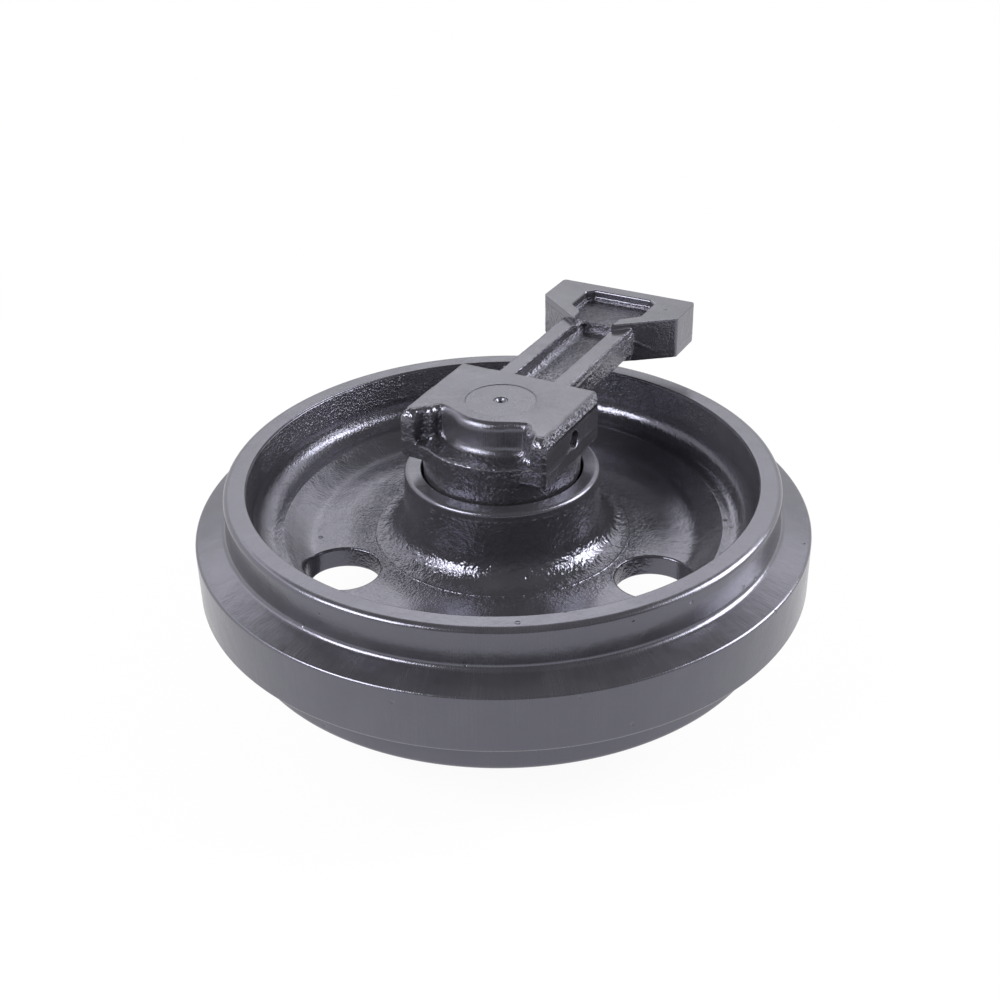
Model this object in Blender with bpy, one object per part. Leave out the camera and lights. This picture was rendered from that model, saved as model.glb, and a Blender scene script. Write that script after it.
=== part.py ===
"""Front idler of a small excavator's crawler track.

The idler lies flat, as it is stored: the wheel's axis is +Z, the origin is the
centre of the lower end of the axle, and the two bracket arms point along +X.
Everything is built about the wheel's middle plane. What the two sides have in
common is made once, for the upper side, and turned over for the lower side.
"""

from math import cos, pi, radians, sin, sqrt, tan

import bmesh
import bpy
from mathutils import Matrix, Vector

for thing in list(bpy.data.objects):
    bpy.data.objects.remove(thing)

MM = 0.001

# Clearances
GAP = 0.3 * MM  # between pieces that touch, seat or run in each other
GUARD_CLEARANCE = 2.0 * MM  # bracket spigot inside the mouth of the hub
FACE_CLEARANCE = 1.0 * MM  # end of the spigot above the floor of that mouth
RING_CLEARANCE = 2.0 * MM  # seal rings round the bracket's nose
RING_BACK_CLEARANCE = 1.5 * MM  # seal ring behind the bushing's flange

# Axle
AXLE_RADIUS = 25.0 * MM
OVERALL_WIDTH = 226.0 * MM  # axle, and the outer faces of the brackets
AXLE_EDGE = 0.8 * MM
GALLERY_RADIUS = 4.0 * MM  # oil hole along the axle
FEED_RADIUS = 2.5 * MM  # oil hole out to the bushings
GROOVE_WIDTH = 3.6 * MM
GROOVE_DEPTH = 2.6 * MM
GROOVE_INSET = 44.0 * MM  # middle of the O-ring groove below the axle's end

# Oil plug
PLUG_RADIUS = 4.85 * MM
PLUG_LENGTH = 9.0 * MM
PLUG_SUNK = 0.4 * MM  # plug below the end of the axle
SOCKET_FLATS = 5.5 * MM
SOCKET_DEPTH = 4.5 * MM
SOCKET_SIDES = 6

# Lock pin
PIN_RADIUS = 6.0 * MM
PIN_INSET = 18.0 * MM  # pin axis below the bracket's outer face
PIN_RECESS = 4.0 * MM  # pin's end below the bracket's side
PIN_BITE = 9.0 * MM  # how deep the pin goes into the axle
PIN_EDGE = 0.8 * MM

# Bushings
BUSHING_WALL = 3.7 * MM
BUSHING_FLANGE_RADIUS = 34.5 * MM
BUSHING_FLANGE = 3.0 * MM
BUSHING_EDGE = 0.9 * MM
CHAMBER_HALF_LENGTH = 8.0 * MM  # oil chamber between the bushings
CHAMBER_DEPTH = 3.7 * MM

# Face seals
NOSE_WALL = 5.2 * MM  # bracket's nose round the axle
RING_WALL = 4.5 * MM
RING_FACE_THICKNESS = 4.0 * MM
RING_FACE_STEP = 4.4 * MM  # how far the lapped face stands out past the barrel
RING_TAPER = 1.0 * MM  # barrel is smaller at its back end, where the rubber goes on
TORIC_SPACE = 6.0 * MM  # between the ring's barrel and its housing
TORIC_HALF_LENGTH = 3.6 * MM
HOUSING_DEPTH = 16.0 * MM
SEAT_RISE = 4.0 * MM  # conical seat at the bottom of a housing
SEAT_STEP = 3.0 * MM

# Wheel
TREAD_RADIUS = 202.0 * MM
FLANGE_HEIGHT = 23.0 * MM
FLANGE_WIDTH = 42.2 * MM
SHOULDER_RISE = 5.3 * MM  # the flange is this much thicker at its root, each side
SHOULDER_FILLET = 3.0 * MM
FLANGE_EDGE = 1.0 * MM
RIM_WIDTH = 111.4 * MM
RIM_THICKNESS = 16.0 * MM
RIM_OUTER_EDGE = 3.0 * MM
RIM_INNER_EDGE = 1.2 * MM
RIM_DRAFT = 5.0 * MM
RIM_FILLET = 14.0 * MM
LEDGE_WIDTH = 18.7 * MM  # turned ledge between the rim and the web
LEDGE_RISE = 9.0 * MM
LEDGE_DRAFT = 1.5 * MM
WEB_THICKNESS = 16.0 * MM
HOLE_COUNT = 3
HOLE_MARGIN = 6.3 * MM  # flat web left on both sides of a hole
FIRST_HOLE_ANGLE = 23.7
HUB_WALL = 12.0 * MM
HUB_WIDTH = 120.8 * MM
HUB_DRAFT = 3.0 * MM
HUB_FILLET = 20.0 * MM
HUB_EDGE = 1.2 * MM
MOUTH_DEPTH = 14.4 * MM
MOUTH_EDGE = 0.6 * MM

# Bracket
SPIGOT_WALL = 14.0 * MM
SPIGOT_DRAFT = 0.8 * MM
SPIGOT_EDGE = 1.0 * MM
SHELF_STEP = 2.0 * MM  # top of the round foot above the floor of the notch
BOSS_WALL = 13.3 * MM
BLOCK_HALF_WIDTH = 58.0 * MM
BLOCK_BACK = 42.5 * MM  # from the axle to the back face, on the arm's side
BLOCK_FRONT = 46.0 * MM  # from the axle to the tips of the ears
BLOCK_HEIGHT = 37.0 * MM
BLOCK_BEVEL_WIDTH = 3.0 * MM  # steep bevel along both sides of the block
BLOCK_BEVEL_HEIGHT = 9.0 * MM
BLOCK_CORNER = 5.0 * MM
BLOCK_UNDER_EDGE = 2.0 * MM
EAR_ROUND = 7.0 * MM
EAR_WIDTH = 10.0 * MM
EAR_ROOT_WIDTH = 14.0 * MM
EAR_ROOT_BACK = 16.0 * MM  # from the ears' tips to where they are full width
NOTCH_DEPTH = 25.0 * MM
NOTCH_FILLET = 4.0 * MM
NOTCH_ANGLE = 60.0  # where the notch meets the round boss, off straight ahead

# Arm
ARM_HALF_WIDTH = 29.0 * MM
ARM_DROP = 5.0 * MM  # top of the ribs below the bracket's face
ARM_DEPTH = 23.0 * MM
RIB_WIDTH = 13.0 * MM
CHANNEL_DEPTH = 12.5 * MM
CHANNEL_START = 3.0 * MM  # from the back of the block
CHANNEL_END = 5.0 * MM  # past the neck of the head
CHANNEL_FILLET = 4.0 * MM
ARM_ROOT_FILLET = 7.0 * MM
ARM_EDGE = 1.2 * MM

# Hook head
REACH = 224.0 * MM  # from the axle to the end of the head
HEAD_LENGTH = 37.0 * MM
HEAD_HALF_WIDTH = 58.5 * MM
HEAD_HEIGHT = 33.0 * MM
HOOK_DEPTH = 23.0 * MM  # along the arm, from the full width of the head to its neck
HEAD_LAP = 2.0 * MM  # how far the head runs on over the arm
HEAD_CORNER = 3.0 * MM
HEAD_EDGE = 1.2 * MM
POCKET_DEPTH = 9.0 * MM
POCKET_SIDE_WALL = 28.5 * MM
POCKET_BACK_WALL = 12.0 * MM
POCKET_MOUTH = 17.0 * MM  # half the width of its open front
POCKET_LIP = 3.0 * MM  # straight mouth of the pocket before it widens
POCKET_CHAMFER = 7.0 * MM
POCKET_FILLET = 2.0 * MM

# Fineness of the round shapes
WHEEL_STEPS = 60
INNER_STEPS = 30
HOLE_STEPS = 32
PIN_STEPS = 20
RUBBER_STEPS = 6
BOSS_STEPS = 10
SHARP_ANGLE = 32.0  # corners between faces that turn more than this stay crisp
ROUND_STEP = 3.5 * MM  # an arc gets one more step for each of these in its radius
MOST_ROUND_STEPS = 4
OVERLAP = 10.0 * MM  # how far shapes reach into each other, and cutters past them
SAME_PLACE = 0.003 * MM  # points nearer than this are one point

# Worked out along the axle, upwards from the middle plane
half_width = OVERALL_WIDTH / 2
hub_face = HUB_WIDTH / 2
mouth_floor = hub_face - MOUTH_DEPTH
spigot_end = mouth_floor + FACE_CLEARANCE
seal_plane = (mouth_floor + spigot_end) / 2
hub_seal_floor = mouth_floor - HOUSING_DEPTH
bracket_seal_floor = spigot_end + HOUSING_DEPTH
bushing_seat = hub_seal_floor + GAP
bushing_top = bushing_seat + BUSHING_FLANGE
nose_end = bushing_top + GAP
ring_face = seal_plane - GAP / 2
ring_back = bushing_top + RING_BACK_CLEARANCE
toric_middle = ring_face - RING_FACE_THICKNESS - GAP - TORIC_HALF_LENGTH
pin_height = half_width - PIN_INSET
groove_height = half_width - GROOVE_INSET
block_bottom = half_width - BLOCK_HEIGHT
notch_floor = half_width - NOTCH_DEPTH
arm_top = half_width - ARM_DROP
arm_bottom = arm_top - ARM_DEPTH
channel_floor = arm_top - CHANNEL_DEPTH
head_bottom = half_width - HEAD_HEIGHT
pocket_floor = half_width - POCKET_DEPTH
plug_bottom = half_width - PLUG_LENGTH

# Worked out from the axle outwards
axle_bore = AXLE_RADIUS + GAP
bushing_radius = axle_bore + BUSHING_WALL
hub_bore = bushing_radius + GAP
chamber_radius = hub_bore + CHAMBER_DEPTH
nose_radius = axle_bore + NOSE_WALL
ring_inner = nose_radius + RING_CLEARANCE
ring_barrel = ring_inner + RING_WALL
ring_outer = ring_barrel + RING_FACE_STEP
housing_radius = ring_barrel + TORIC_SPACE
spigot_radius = housing_radius + SPIGOT_WALL
mouth_radius = spigot_radius + GUARD_CLEARANCE
hub_radius = mouth_radius + HUB_WALL
hub_foot = hub_radius + HUB_DRAFT + HUB_FILLET
boss_radius = axle_bore + BOSS_WALL
groove_radius = AXLE_RADIUS - GROOVE_DEPTH
flange_radius = TREAD_RADIUS + FLANGE_HEIGHT
rim_bore = TREAD_RADIUS - RIM_THICKNESS
ledge_radius = rim_bore - RIM_DRAFT - LEDGE_WIDTH
web_edge = ledge_radius - LEDGE_DRAFT
hole_circle = (hub_foot + web_edge) / 2
hole_radius = (web_edge - hub_foot) / 2 - HOLE_MARGIN
plug_bore = PLUG_RADIUS + GAP
pin_bore = PIN_RADIUS + GAP
pin_inner_end = AXLE_RADIUS - PIN_BITE

# Worked out along the arm, from the axle
hook_end = REACH - HEAD_LENGTH
neck = hook_end - HOOK_DEPTH
head_start = neck - HEAD_LAP
hook_slope = (HEAD_HALF_WIDTH - ARM_HALF_WIDTH) / HOOK_DEPTH
channel_half_width = ARM_HALF_WIDTH - RIB_WIDTH
pocket_half_width = HEAD_HALF_WIDTH - POCKET_SIDE_WALL
pocket_back = REACH - POCKET_BACK_WALL


# Outlines
def rounded(corners, closed=True):
    """The outline through the corners (x, y, radius).

    A corner with a radius becomes an arc that touches both of its sides, and
    no arc takes more than half of a side.
    """
    outline = []
    count = len(corners)
    for i, (x, y, radius) in enumerate(corners):
        at_end = not closed and i in (0, count - 1)
        if radius == 0 or at_end:
            outline.append((x, y))
            continue
        corner = Vector((x, y))
        before = Vector(corners[i - 1][:2]) - corner
        after = Vector(corners[(i + 1) % count][:2]) - corner
        opening = before.angle(after)
        turn = pi - opening
        reach = min(radius / tan(opening / 2), before.length / 2, after.length / 2)
        radius = reach * tan(opening / 2)
        inwards = (before.normalized() + after.normalized()).normalized()
        middle = corner + inwards * radius / sin(opening / 2)
        start = corner + before.normalized() * reach - middle
        end = corner + after.normalized() * reach - middle
        steps = arc_steps(radius)
        for k in range(steps + 1):
            share = k / steps
            spoke = (start * sin((1 - share) * turn) + end * sin(share * turn)) / sin(turn)
            outline.append(tuple(middle + spoke))
    return outline


def arc_steps(radius):
    """How many straight steps stand for an arc of this radius."""
    return min(MOST_ROUND_STEPS, 1 + int(radius / ROUND_STEP))


def mirrored(half):
    """The corners of one half, and the same corners with their second value negative."""
    return half + [(x, -y, radius) for x, y, radius in reversed(half)]


def ellipse(middle_radius, middle_height, half_thickness, half_length):
    """The section of a rubber ring, as (radius, height) points."""
    turns = [2 * pi * k / RUBBER_STEPS for k in range(RUBBER_STEPS)]
    return [
        (middle_radius + half_thickness * cos(turn), middle_height + half_length * sin(turn))
        for turn in turns
    ]


def across_the_seal(outline):
    """The outline (radius, height) mirrored in the plane where the two seal rings meet."""
    return [(radius, 2 * seal_plane - height) for radius, height in outline]


# Materials
def finish(name, colour, roughness, metallic):
    """A Principled material of one colour."""
    material = bpy.data.materials.new(name)
    material.use_nodes = True
    shader = material.node_tree.nodes["Principled BSDF"]
    shader.inputs["Base Color"].default_value = (*colour, 1)
    shader.inputs["Roughness"].default_value = roughness
    shader.inputs["Metallic"].default_value = metallic
    material.diffuse_color = (*colour, 1)
    return material


def painted(name):
    return finish(name, (0.035, 0.034, 0.038), 0.3, 0.0)


def bare_steel(name):
    return finish(name, (0.42, 0.42, 0.43), 0.25, 1.0)


def bronze(name):
    return finish(name, (0.55, 0.36, 0.16), 0.35, 1.0)


def rubber(name):
    return finish(name, (0.012, 0.012, 0.012), 0.6, 0.0)


# Shapes
def mesh_of(bm, name):
    """The finished mesh of a bmesh, with its faces turned outwards."""
    bmesh.ops.recalc_face_normals(bm, faces=bm.faces)
    mesh = bpy.data.meshes.new(name)
    bm.to_mesh(mesh)
    bm.free()
    return smooth(mesh)


def smooth(mesh):
    """Smooth shading on the round walls, sharp at the corners."""
    mesh.shade_smooth()
    mesh.set_sharp_from_angle(angle=radians(SHARP_ANGLE))
    return mesh


def turned(name, outline, steps, closed=True):
    """The outline (radius, height) spun right round the Z axis.

    A closed outline makes a ring. One that isn't closed starts and ends on the
    axis, and makes a solid bar.
    """
    bm = bmesh.new()
    verts = [bm.verts.new((radius, 0, height)) for radius, height in outline]
    pairs = list(zip(verts, verts[1:]))
    if closed:
        pairs.append((verts[-1], verts[0]))
    edges = [bm.edges.new(pair) for pair in pairs]
    bmesh.ops.spin(
        bm, geom=verts + edges, axis=(0, 0, 1), cent=(0, 0, 0), steps=steps, angle=2 * pi
    )
    bmesh.ops.remove_doubles(bm, verts=bm.verts, dist=SAME_PLACE)
    return mesh_of(bm, name)


def prism(name, outline, bottom, top, bottom_round=0.0, top_round=0.0):
    """The outline (x, y) raised from bottom to top, with its rims rounded."""
    bm = bmesh.new()
    face = bm.faces.new([bm.verts.new((x, y, bottom)) for x, y in outline])
    raised = bmesh.ops.extrude_face_region(bm, geom=[face])
    lifted = [v for v in raised["geom"] if isinstance(v, bmesh.types.BMVert)]
    bmesh.ops.translate(bm, verts=lifted, vec=(0, 0, top - bottom))
    for height, size in ((bottom, bottom_round), (top, top_round)):
        if size:
            rim = [e for e in bm.edges if all(abs(v.co.z - height) < SAME_PLACE for v in e.verts)]
            bmesh.ops.bevel(
                bm, geom=rim, offset=size, segments=arc_steps(size), profile=0.5, affect="EDGES"
            )
    return mesh_of(bm, name)


def rod(name, radius, start, end, steps):
    """A plain round bar along Z."""
    bm = bmesh.new()
    bmesh.ops.create_cone(
        bm, cap_ends=True, segments=steps, radius1=radius, radius2=radius, depth=end - start
    )
    bmesh.ops.translate(bm, verts=bm.verts, vec=(0, 0, (start + end) / 2))
    return mesh_of(bm, name)


def helper(mesh, location=(0, 0, 0), rotation=(0, 0, 0)):
    """A shape that cuts, trims or joins another, out of the render."""
    piece = bpy.data.objects.new(mesh.name, mesh)
    piece.location = location
    piece.rotation_euler = rotation
    piece.hide_render = True
    piece.display_type = "WIRE"
    bpy.context.collection.objects.link(piece)
    return piece


def combined(name, base, steps):
    """The mesh of base after each Boolean step (operation, helper), helpers removed."""
    piece = bpy.data.objects.new(name, base)
    bpy.context.collection.objects.link(piece)
    for operation, other in steps:
        change = piece.modifiers.new(other.name, "BOOLEAN")
        change.operation = operation
        change.solver = "EXACT"
        change.object = other
    depsgraph = bpy.context.evaluated_depsgraph_get()
    mesh = bpy.data.meshes.new_from_object(piece.evaluated_get(depsgraph))
    mesh.name = name
    for _, other in steps:
        bpy.data.objects.remove(other)
    bpy.data.objects.remove(piece)
    return smooth(mesh)


# Wheel
def wheel_mesh():
    """Cast wheel: a centre flange between two treads, a flat web with holes, and the hub."""
    flange_side = FLANGE_WIDTH / 2
    rim_face = RIM_WIDTH / 2
    web_face = WEB_THICKNESS / 2
    ledge = web_face + LEDGE_RISE
    upper = [
        (flange_radius, flange_side, FLANGE_EDGE),
        (TREAD_RADIUS, flange_side + SHOULDER_RISE, SHOULDER_FILLET),
        (TREAD_RADIUS, rim_face, RIM_OUTER_EDGE),
        (rim_bore, rim_face, RIM_INNER_EDGE),
        (rim_bore - RIM_DRAFT, ledge, RIM_FILLET),
        (ledge_radius, ledge, 0),
        (web_edge, web_face, 0),
        (hub_radius + HUB_DRAFT, web_face, HUB_FILLET),
        (hub_radius, hub_face, HUB_EDGE),
        (mouth_radius, hub_face, MOUTH_EDGE),
        (mouth_radius, mouth_floor, 0),
        (housing_radius, mouth_floor, 0),
        (housing_radius, hub_seal_floor + SEAT_RISE, 0),
        (housing_radius - SEAT_STEP, hub_seal_floor, 0),
        (hub_bore, hub_seal_floor, 0),
        (hub_bore, CHAMBER_HALF_LENGTH, 0),
        (chamber_radius, CHAMBER_HALF_LENGTH, 0),
    ]
    blank = turned("wheel_blank", rounded(mirrored(upper)), WHEEL_STEPS)
    holes = []
    for k in range(HOLE_COUNT):
        angle = radians(FIRST_HOLE_ANGLE) + k * 2 * pi / HOLE_COUNT
        cutter = rod(f"web_hole_{k + 1}", hole_radius, -WEB_THICKNESS, WEB_THICKNESS, HOLE_STEPS)
        place = (hole_circle * cos(angle), hole_circle * sin(angle), 0)
        holes.append(("DIFFERENCE", helper(cutter, place)))
    return combined("wheel", blank, holes)


# Bushing
def bushing_mesh():
    """Flanged sleeve, pressed into the hub, that turns on the axle."""
    outline = [
        (axle_bore, CHAMBER_HALF_LENGTH, 0),
        (bushing_radius, CHAMBER_HALF_LENGTH, BUSHING_EDGE),
        (bushing_radius, bushing_seat, 0),
        (BUSHING_FLANGE_RADIUS, bushing_seat, 0),
        (BUSHING_FLANGE_RADIUS, bushing_top, 0),
        (axle_bore, bushing_top, 0),
    ]
    return turned("bushing", rounded(outline), INNER_STEPS)


# Seal rings and the rubber rings that hold them
def seal_ring_outline():
    """Hard ring on the wheel's side: a barrel with a lapped face standing out at its end."""
    face_back = ring_face - RING_FACE_THICKNESS
    return [
        (ring_inner, ring_back),
        (ring_barrel - RING_TAPER, ring_back),
        (ring_barrel, toric_middle),
        (ring_barrel, face_back),
        (ring_outer, face_back),
        (ring_outer, ring_face),
        (ring_inner, ring_face),
    ]


def toric_outline():
    """Rubber ring squeezed between the barrel of a seal ring and its housing."""
    middle = (ring_barrel + housing_radius) / 2
    return ellipse(middle, toric_middle, TORIC_SPACE / 2 - GAP, TORIC_HALF_LENGTH)


def o_ring_outline():
    """Rubber ring in the groove of the axle, inside the bracket's bore."""
    middle = (groove_radius + axle_bore) / 2
    half_thickness = (axle_bore - groove_radius) / 2 - GAP
    return ellipse(middle, groove_height, half_thickness, half_thickness)


# Axle
def axle_mesh():
    """Plain axle with an O-ring groove and a pin hole near each end, and an oil gallery."""
    groove_bottom = groove_height - GROOVE_WIDTH / 2
    groove_top = groove_height + GROOVE_WIDTH / 2
    upper = [
        (0, half_width, 0),
        (AXLE_RADIUS, half_width, AXLE_EDGE),
        (AXLE_RADIUS, groove_top, 0),
        (groove_radius, groove_top, 0),
        (groove_radius, groove_bottom, 0),
        (AXLE_RADIUS, groove_bottom, 0),
    ]
    bar = turned("axle_bar", rounded(mirrored(upper), closed=False), INNER_STEPS, closed=False)
    past_end = half_width + OVERLAP
    gallery = rod("gallery", GALLERY_RADIUS, -GALLERY_RADIUS, past_end, PIN_STEPS)
    plug_hole = rod("plug_hole", plug_bore, plug_bottom - GAP, past_end, PIN_STEPS)
    feed = rod("feed_hole", FEED_RADIUS, 0, AXLE_RADIUS + OVERLAP, PIN_STEPS)
    steps = [
        ("DIFFERENCE", helper(gallery)),
        ("DIFFERENCE", helper(plug_hole)),
        ("DIFFERENCE", helper(feed, rotation=(0, pi / 2, 0))),
    ]
    for side in (1, -1):
        hole = rod("pin_hole", pin_bore, pin_inner_end - GAP, AXLE_RADIUS + OVERLAP, PIN_STEPS)
        turn = (side * pi / 2, 0, 0)
        steps.append(("DIFFERENCE", helper(hole, (0, 0, side * pin_height), turn)))
    return combined("axle", bar, steps)


def oil_plug_mesh():
    """Flush plug with a hexagon socket, in the upper end of the axle."""
    top = half_width - PLUG_SUNK
    outline = [(0, plug_bottom), (PLUG_RADIUS, plug_bottom), (PLUG_RADIUS, top), (0, top)]
    body = turned("plug_body", outline, PIN_STEPS, closed=False)
    hexagon_radius = SOCKET_FLATS / sqrt(3)
    socket = rod("plug_socket", hexagon_radius, top - SOCKET_DEPTH, top + OVERLAP, SOCKET_SIDES)
    return combined("oil_plug", body, [("DIFFERENCE", helper(socket))])


# Lock pin
def lock_pin_mesh():
    """Straight pin through the side of the bracket into the axle, along -Y."""
    outer_end = BLOCK_HALF_WIDTH - PIN_RECESS
    corners = [
        (0, pin_inner_end, 0),
        (PIN_RADIUS, pin_inner_end, PIN_EDGE),
        (PIN_RADIUS, outer_end, PIN_EDGE),
        (0, outer_end, 0),
    ]
    pin = turned("lock_pin", rounded(corners, closed=False), PIN_STEPS, closed=False)
    pin.transform(Matrix.Translation((0, 0, pin_height)) @ Matrix.Rotation(pi / 2, 4, "X"))
    return pin


# Bracket
def foot_mesh():
    """Round foot of the bracket, that runs inside the mouth of the hub."""
    top = notch_floor + SHELF_STEP
    outline = [
        (0, spigot_end, 0),
        (spigot_radius, spigot_end, SPIGOT_EDGE),
        (spigot_radius + SPIGOT_DRAFT, top, SHELF_STEP),
        (0, top, 0),
    ]
    return turned("foot", rounded(outline, closed=False), INNER_STEPS, closed=False)


def seal_room_mesh():
    """Housing for the fixed seal ring, open at the bottom of the foot."""
    outline = [
        (0, spigot_end - OVERLAP),
        (housing_radius, spigot_end - OVERLAP),
        (housing_radius, bracket_seal_floor - SEAT_RISE),
        (housing_radius - SEAT_STEP, bracket_seal_floor),
        (0, bracket_seal_floor),
    ]
    return turned("seal_room", outline, INNER_STEPS, closed=False)


def nose_mesh():
    """Nose that carries the bracket's bore on through the seals, down to the bushing."""
    top = bracket_seal_floor + OVERLAP
    outline = [(0, nose_end), (nose_radius, nose_end), (nose_radius, top), (0, top)]
    return turned("nose", outline, INNER_STEPS, closed=False)


def on_side(mesh):
    """The mesh stood up, so that its outline (x, y) becomes (x, z)."""
    mesh.transform(Matrix.Rotation(pi / 2, 4, "X"))
    return mesh


def on_end(mesh):
    """The mesh stood up, so that its outline (x, y) becomes (y, z)."""
    mesh.transform(Matrix.Rotation(pi / 2, 4, "Z") @ Matrix.Rotation(pi / 2, 4, "X"))
    return mesh


def block_mesh():
    """Body of the bracket: a plan outline, trimmed by a side outline and an end outline."""
    plan = [
        (BLOCK_BACK, BLOCK_HALF_WIDTH, BLOCK_CORNER),
        (-BLOCK_FRONT, BLOCK_HALF_WIDTH, BLOCK_CORNER),
    ]
    side = [
        (BLOCK_BACK + OVERLAP, block_bottom - OVERLAP, 0),
        (BLOCK_BACK + OVERLAP, half_width, 0),
        (-BLOCK_FRONT, half_width, EAR_ROUND),
        (-BLOCK_FRONT, block_bottom - OVERLAP, 0),
    ]
    end = [
        (BLOCK_HALF_WIDTH, block_bottom - OVERLAP),
        (BLOCK_HALF_WIDTH, half_width - BLOCK_BEVEL_HEIGHT),
        (BLOCK_HALF_WIDTH - BLOCK_BEVEL_WIDTH, half_width),
        (BLOCK_BEVEL_WIDTH - BLOCK_HALF_WIDTH, half_width),
        (-BLOCK_HALF_WIDTH, half_width - BLOCK_BEVEL_HEIGHT),
        (-BLOCK_HALF_WIDTH, block_bottom - OVERLAP),
    ]
    blank = prism(
        "block", rounded(mirrored(plan)), block_bottom, half_width + OVERLAP, BLOCK_UNDER_EDGE
    )
    reach = BLOCK_HALF_WIDTH + OVERLAP
    side_trim = on_side(prism("side_trim", rounded(side), -reach, reach))
    end_trim = on_end(prism("end_trim", end, -reach, reach))
    steps = [("INTERSECT", helper(side_trim)), ("INTERSECT", helper(end_trim))]
    return combined("block", blank, steps)


def notch_mesh():
    """What the front of the block loses: the space between the ears and the round boss."""
    ear_tip = BLOCK_HALF_WIDTH - EAR_WIDTH
    ear_root = BLOCK_HALF_WIDTH - EAR_ROOT_WIDTH
    half = [
        (-spigot_radius - 2 * OVERLAP, ear_tip),
        (-BLOCK_FRONT, ear_tip),
        (EAR_ROOT_BACK - BLOCK_FRONT, ear_root),
    ]
    spread = radians(NOTCH_ANGLE)
    turns = [pi - spread * (1 - 2 * k / BOSS_STEPS) for k in range(BOSS_STEPS + 1)]
    boss = [(boss_radius * cos(turn), boss_radius * sin(turn)) for turn in turns]
    outline = half + boss + [(x, -y) for x, y in reversed(half)]
    return prism("notch", outline, notch_floor, half_width + OVERLAP, NOTCH_FILLET)


def arm_mesh():
    """Arm between block and head, flared where it leaves the block."""
    root = BLOCK_BACK - GAP
    flare = ARM_HALF_WIDTH + ARM_ROOT_FILLET + OVERLAP
    half = [
        (root - OVERLAP, flare, 0),
        (root, flare, 0),
        (root, ARM_HALF_WIDTH, ARM_ROOT_FILLET),
        (hook_end, ARM_HALF_WIDTH, 0),
    ]
    return prism("arm", rounded(mirrored(half)), arm_bottom, arm_top, ARM_EDGE, ARM_EDGE)


def head_mesh():
    """Hook head: wider than the arm, with a slanted face on each side of the neck."""
    half = [
        (head_start, ARM_HALF_WIDTH - HEAD_LAP * hook_slope, 0),
        (hook_end, HEAD_HALF_WIDTH, HEAD_EDGE),
        (REACH, HEAD_HALF_WIDTH, HEAD_CORNER),
    ]
    return prism("head", rounded(mirrored(half)), head_bottom, half_width, HEAD_EDGE, HEAD_EDGE)


def channel_mesh():
    """Groove along the top of the arm, between its two ribs."""
    start = BLOCK_BACK + CHANNEL_START
    end = neck + CHANNEL_END
    outline = mirrored([(start, channel_half_width, 0), (end, channel_half_width, 0)])
    top = half_width + OVERLAP
    return prism("channel", rounded(outline), channel_floor, top, CHANNEL_FILLET)


def pocket_mesh():
    """Pocket in the head, open to the channel at its narrow mouth."""
    mouth = neck + POCKET_LIP
    widening = pocket_half_width - POCKET_MOUTH
    half = [
        (head_start - OVERLAP, POCKET_MOUTH - POCKET_LIP, 0),
        (neck, POCKET_MOUTH, 0),
        (mouth, POCKET_MOUTH, 0),
        (mouth + widening, pocket_half_width, 0),
        (pocket_back - POCKET_CHAMFER, pocket_half_width, 0),
        (pocket_back, pocket_half_width - POCKET_CHAMFER, 0),
    ]
    top = half_width + OVERLAP
    return prism("pocket", rounded(mirrored(half)), pocket_floor, top, POCKET_FILLET)


def bracket_mesh():
    """Cast bracket: the round foot, the block with two ears, the ribbed arm and its head."""
    bore = rod("bore", axle_bore, nose_end - OVERLAP, half_width + OVERLAP, INNER_STEPS)
    side_hole = rod("side_hole", pin_bore, 0, BLOCK_HALF_WIDTH + OVERLAP, PIN_STEPS)
    steps = [
        ("UNION", helper(block_mesh())),
        ("UNION", helper(arm_mesh())),
        ("UNION", helper(head_mesh())),
        ("DIFFERENCE", helper(seal_room_mesh())),
        ("UNION", helper(nose_mesh())),
        ("DIFFERENCE", helper(notch_mesh())),
        ("DIFFERENCE", helper(channel_mesh())),
        ("DIFFERENCE", helper(pocket_mesh())),
        ("DIFFERENCE", helper(bore)),
        ("DIFFERENCE", helper(side_hole, (0, 0, pin_height), (pi / 2, 0, 0))),
    ]
    return combined("bracket", foot_mesh(), steps)


# The idler
def place(name, mesh, material, turned_over=False):
    """One piece of the idler, with its origin at the middle of the wheel."""
    piece = bpy.data.objects.new(name, mesh.copy())
    piece.data.materials.append(material)
    piece.location = (0, 0, half_width)
    if turned_over:
        piece.rotation_euler = (pi, 0, 0)
    bpy.context.collection.objects.link(piece)


def place_both(name, mesh, paint):
    """The piece on the upper side, and turned over on the lower side."""
    place(f"upper_{name}", mesh, paint(f"upper_{name}_finish"))
    place(f"lower_{name}", mesh, paint(f"lower_{name}_finish"), turned_over=True)


ring = seal_ring_outline()
toric = toric_outline()
place("wheel", wheel_mesh(), painted("wheel_finish"))
place("axle_shaft", axle_mesh(), bare_steel("axle_shaft_finish"))
place("oil_plug", oil_plug_mesh(), bare_steel("oil_plug_finish"))
place_both("bracket", bracket_mesh(), painted)
place_both("lock_pin", lock_pin_mesh(), bare_steel)
place_both("bushing", bushing_mesh(), bronze)
place_both("turning_seal_ring", turned("ring", ring, INNER_STEPS), bare_steel)
place_both("fixed_seal_ring", turned("ring", across_the_seal(ring), INNER_STEPS), bare_steel)
place_both("turning_toric", turned("toric", toric, INNER_STEPS), rubber)
place_both("fixed_toric", turned("toric", across_the_seal(toric), INNER_STEPS), rubber)
place_both("shaft_o_ring", turned("o_ring", o_ring_outline(), INNER_STEPS), rubber)
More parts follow.
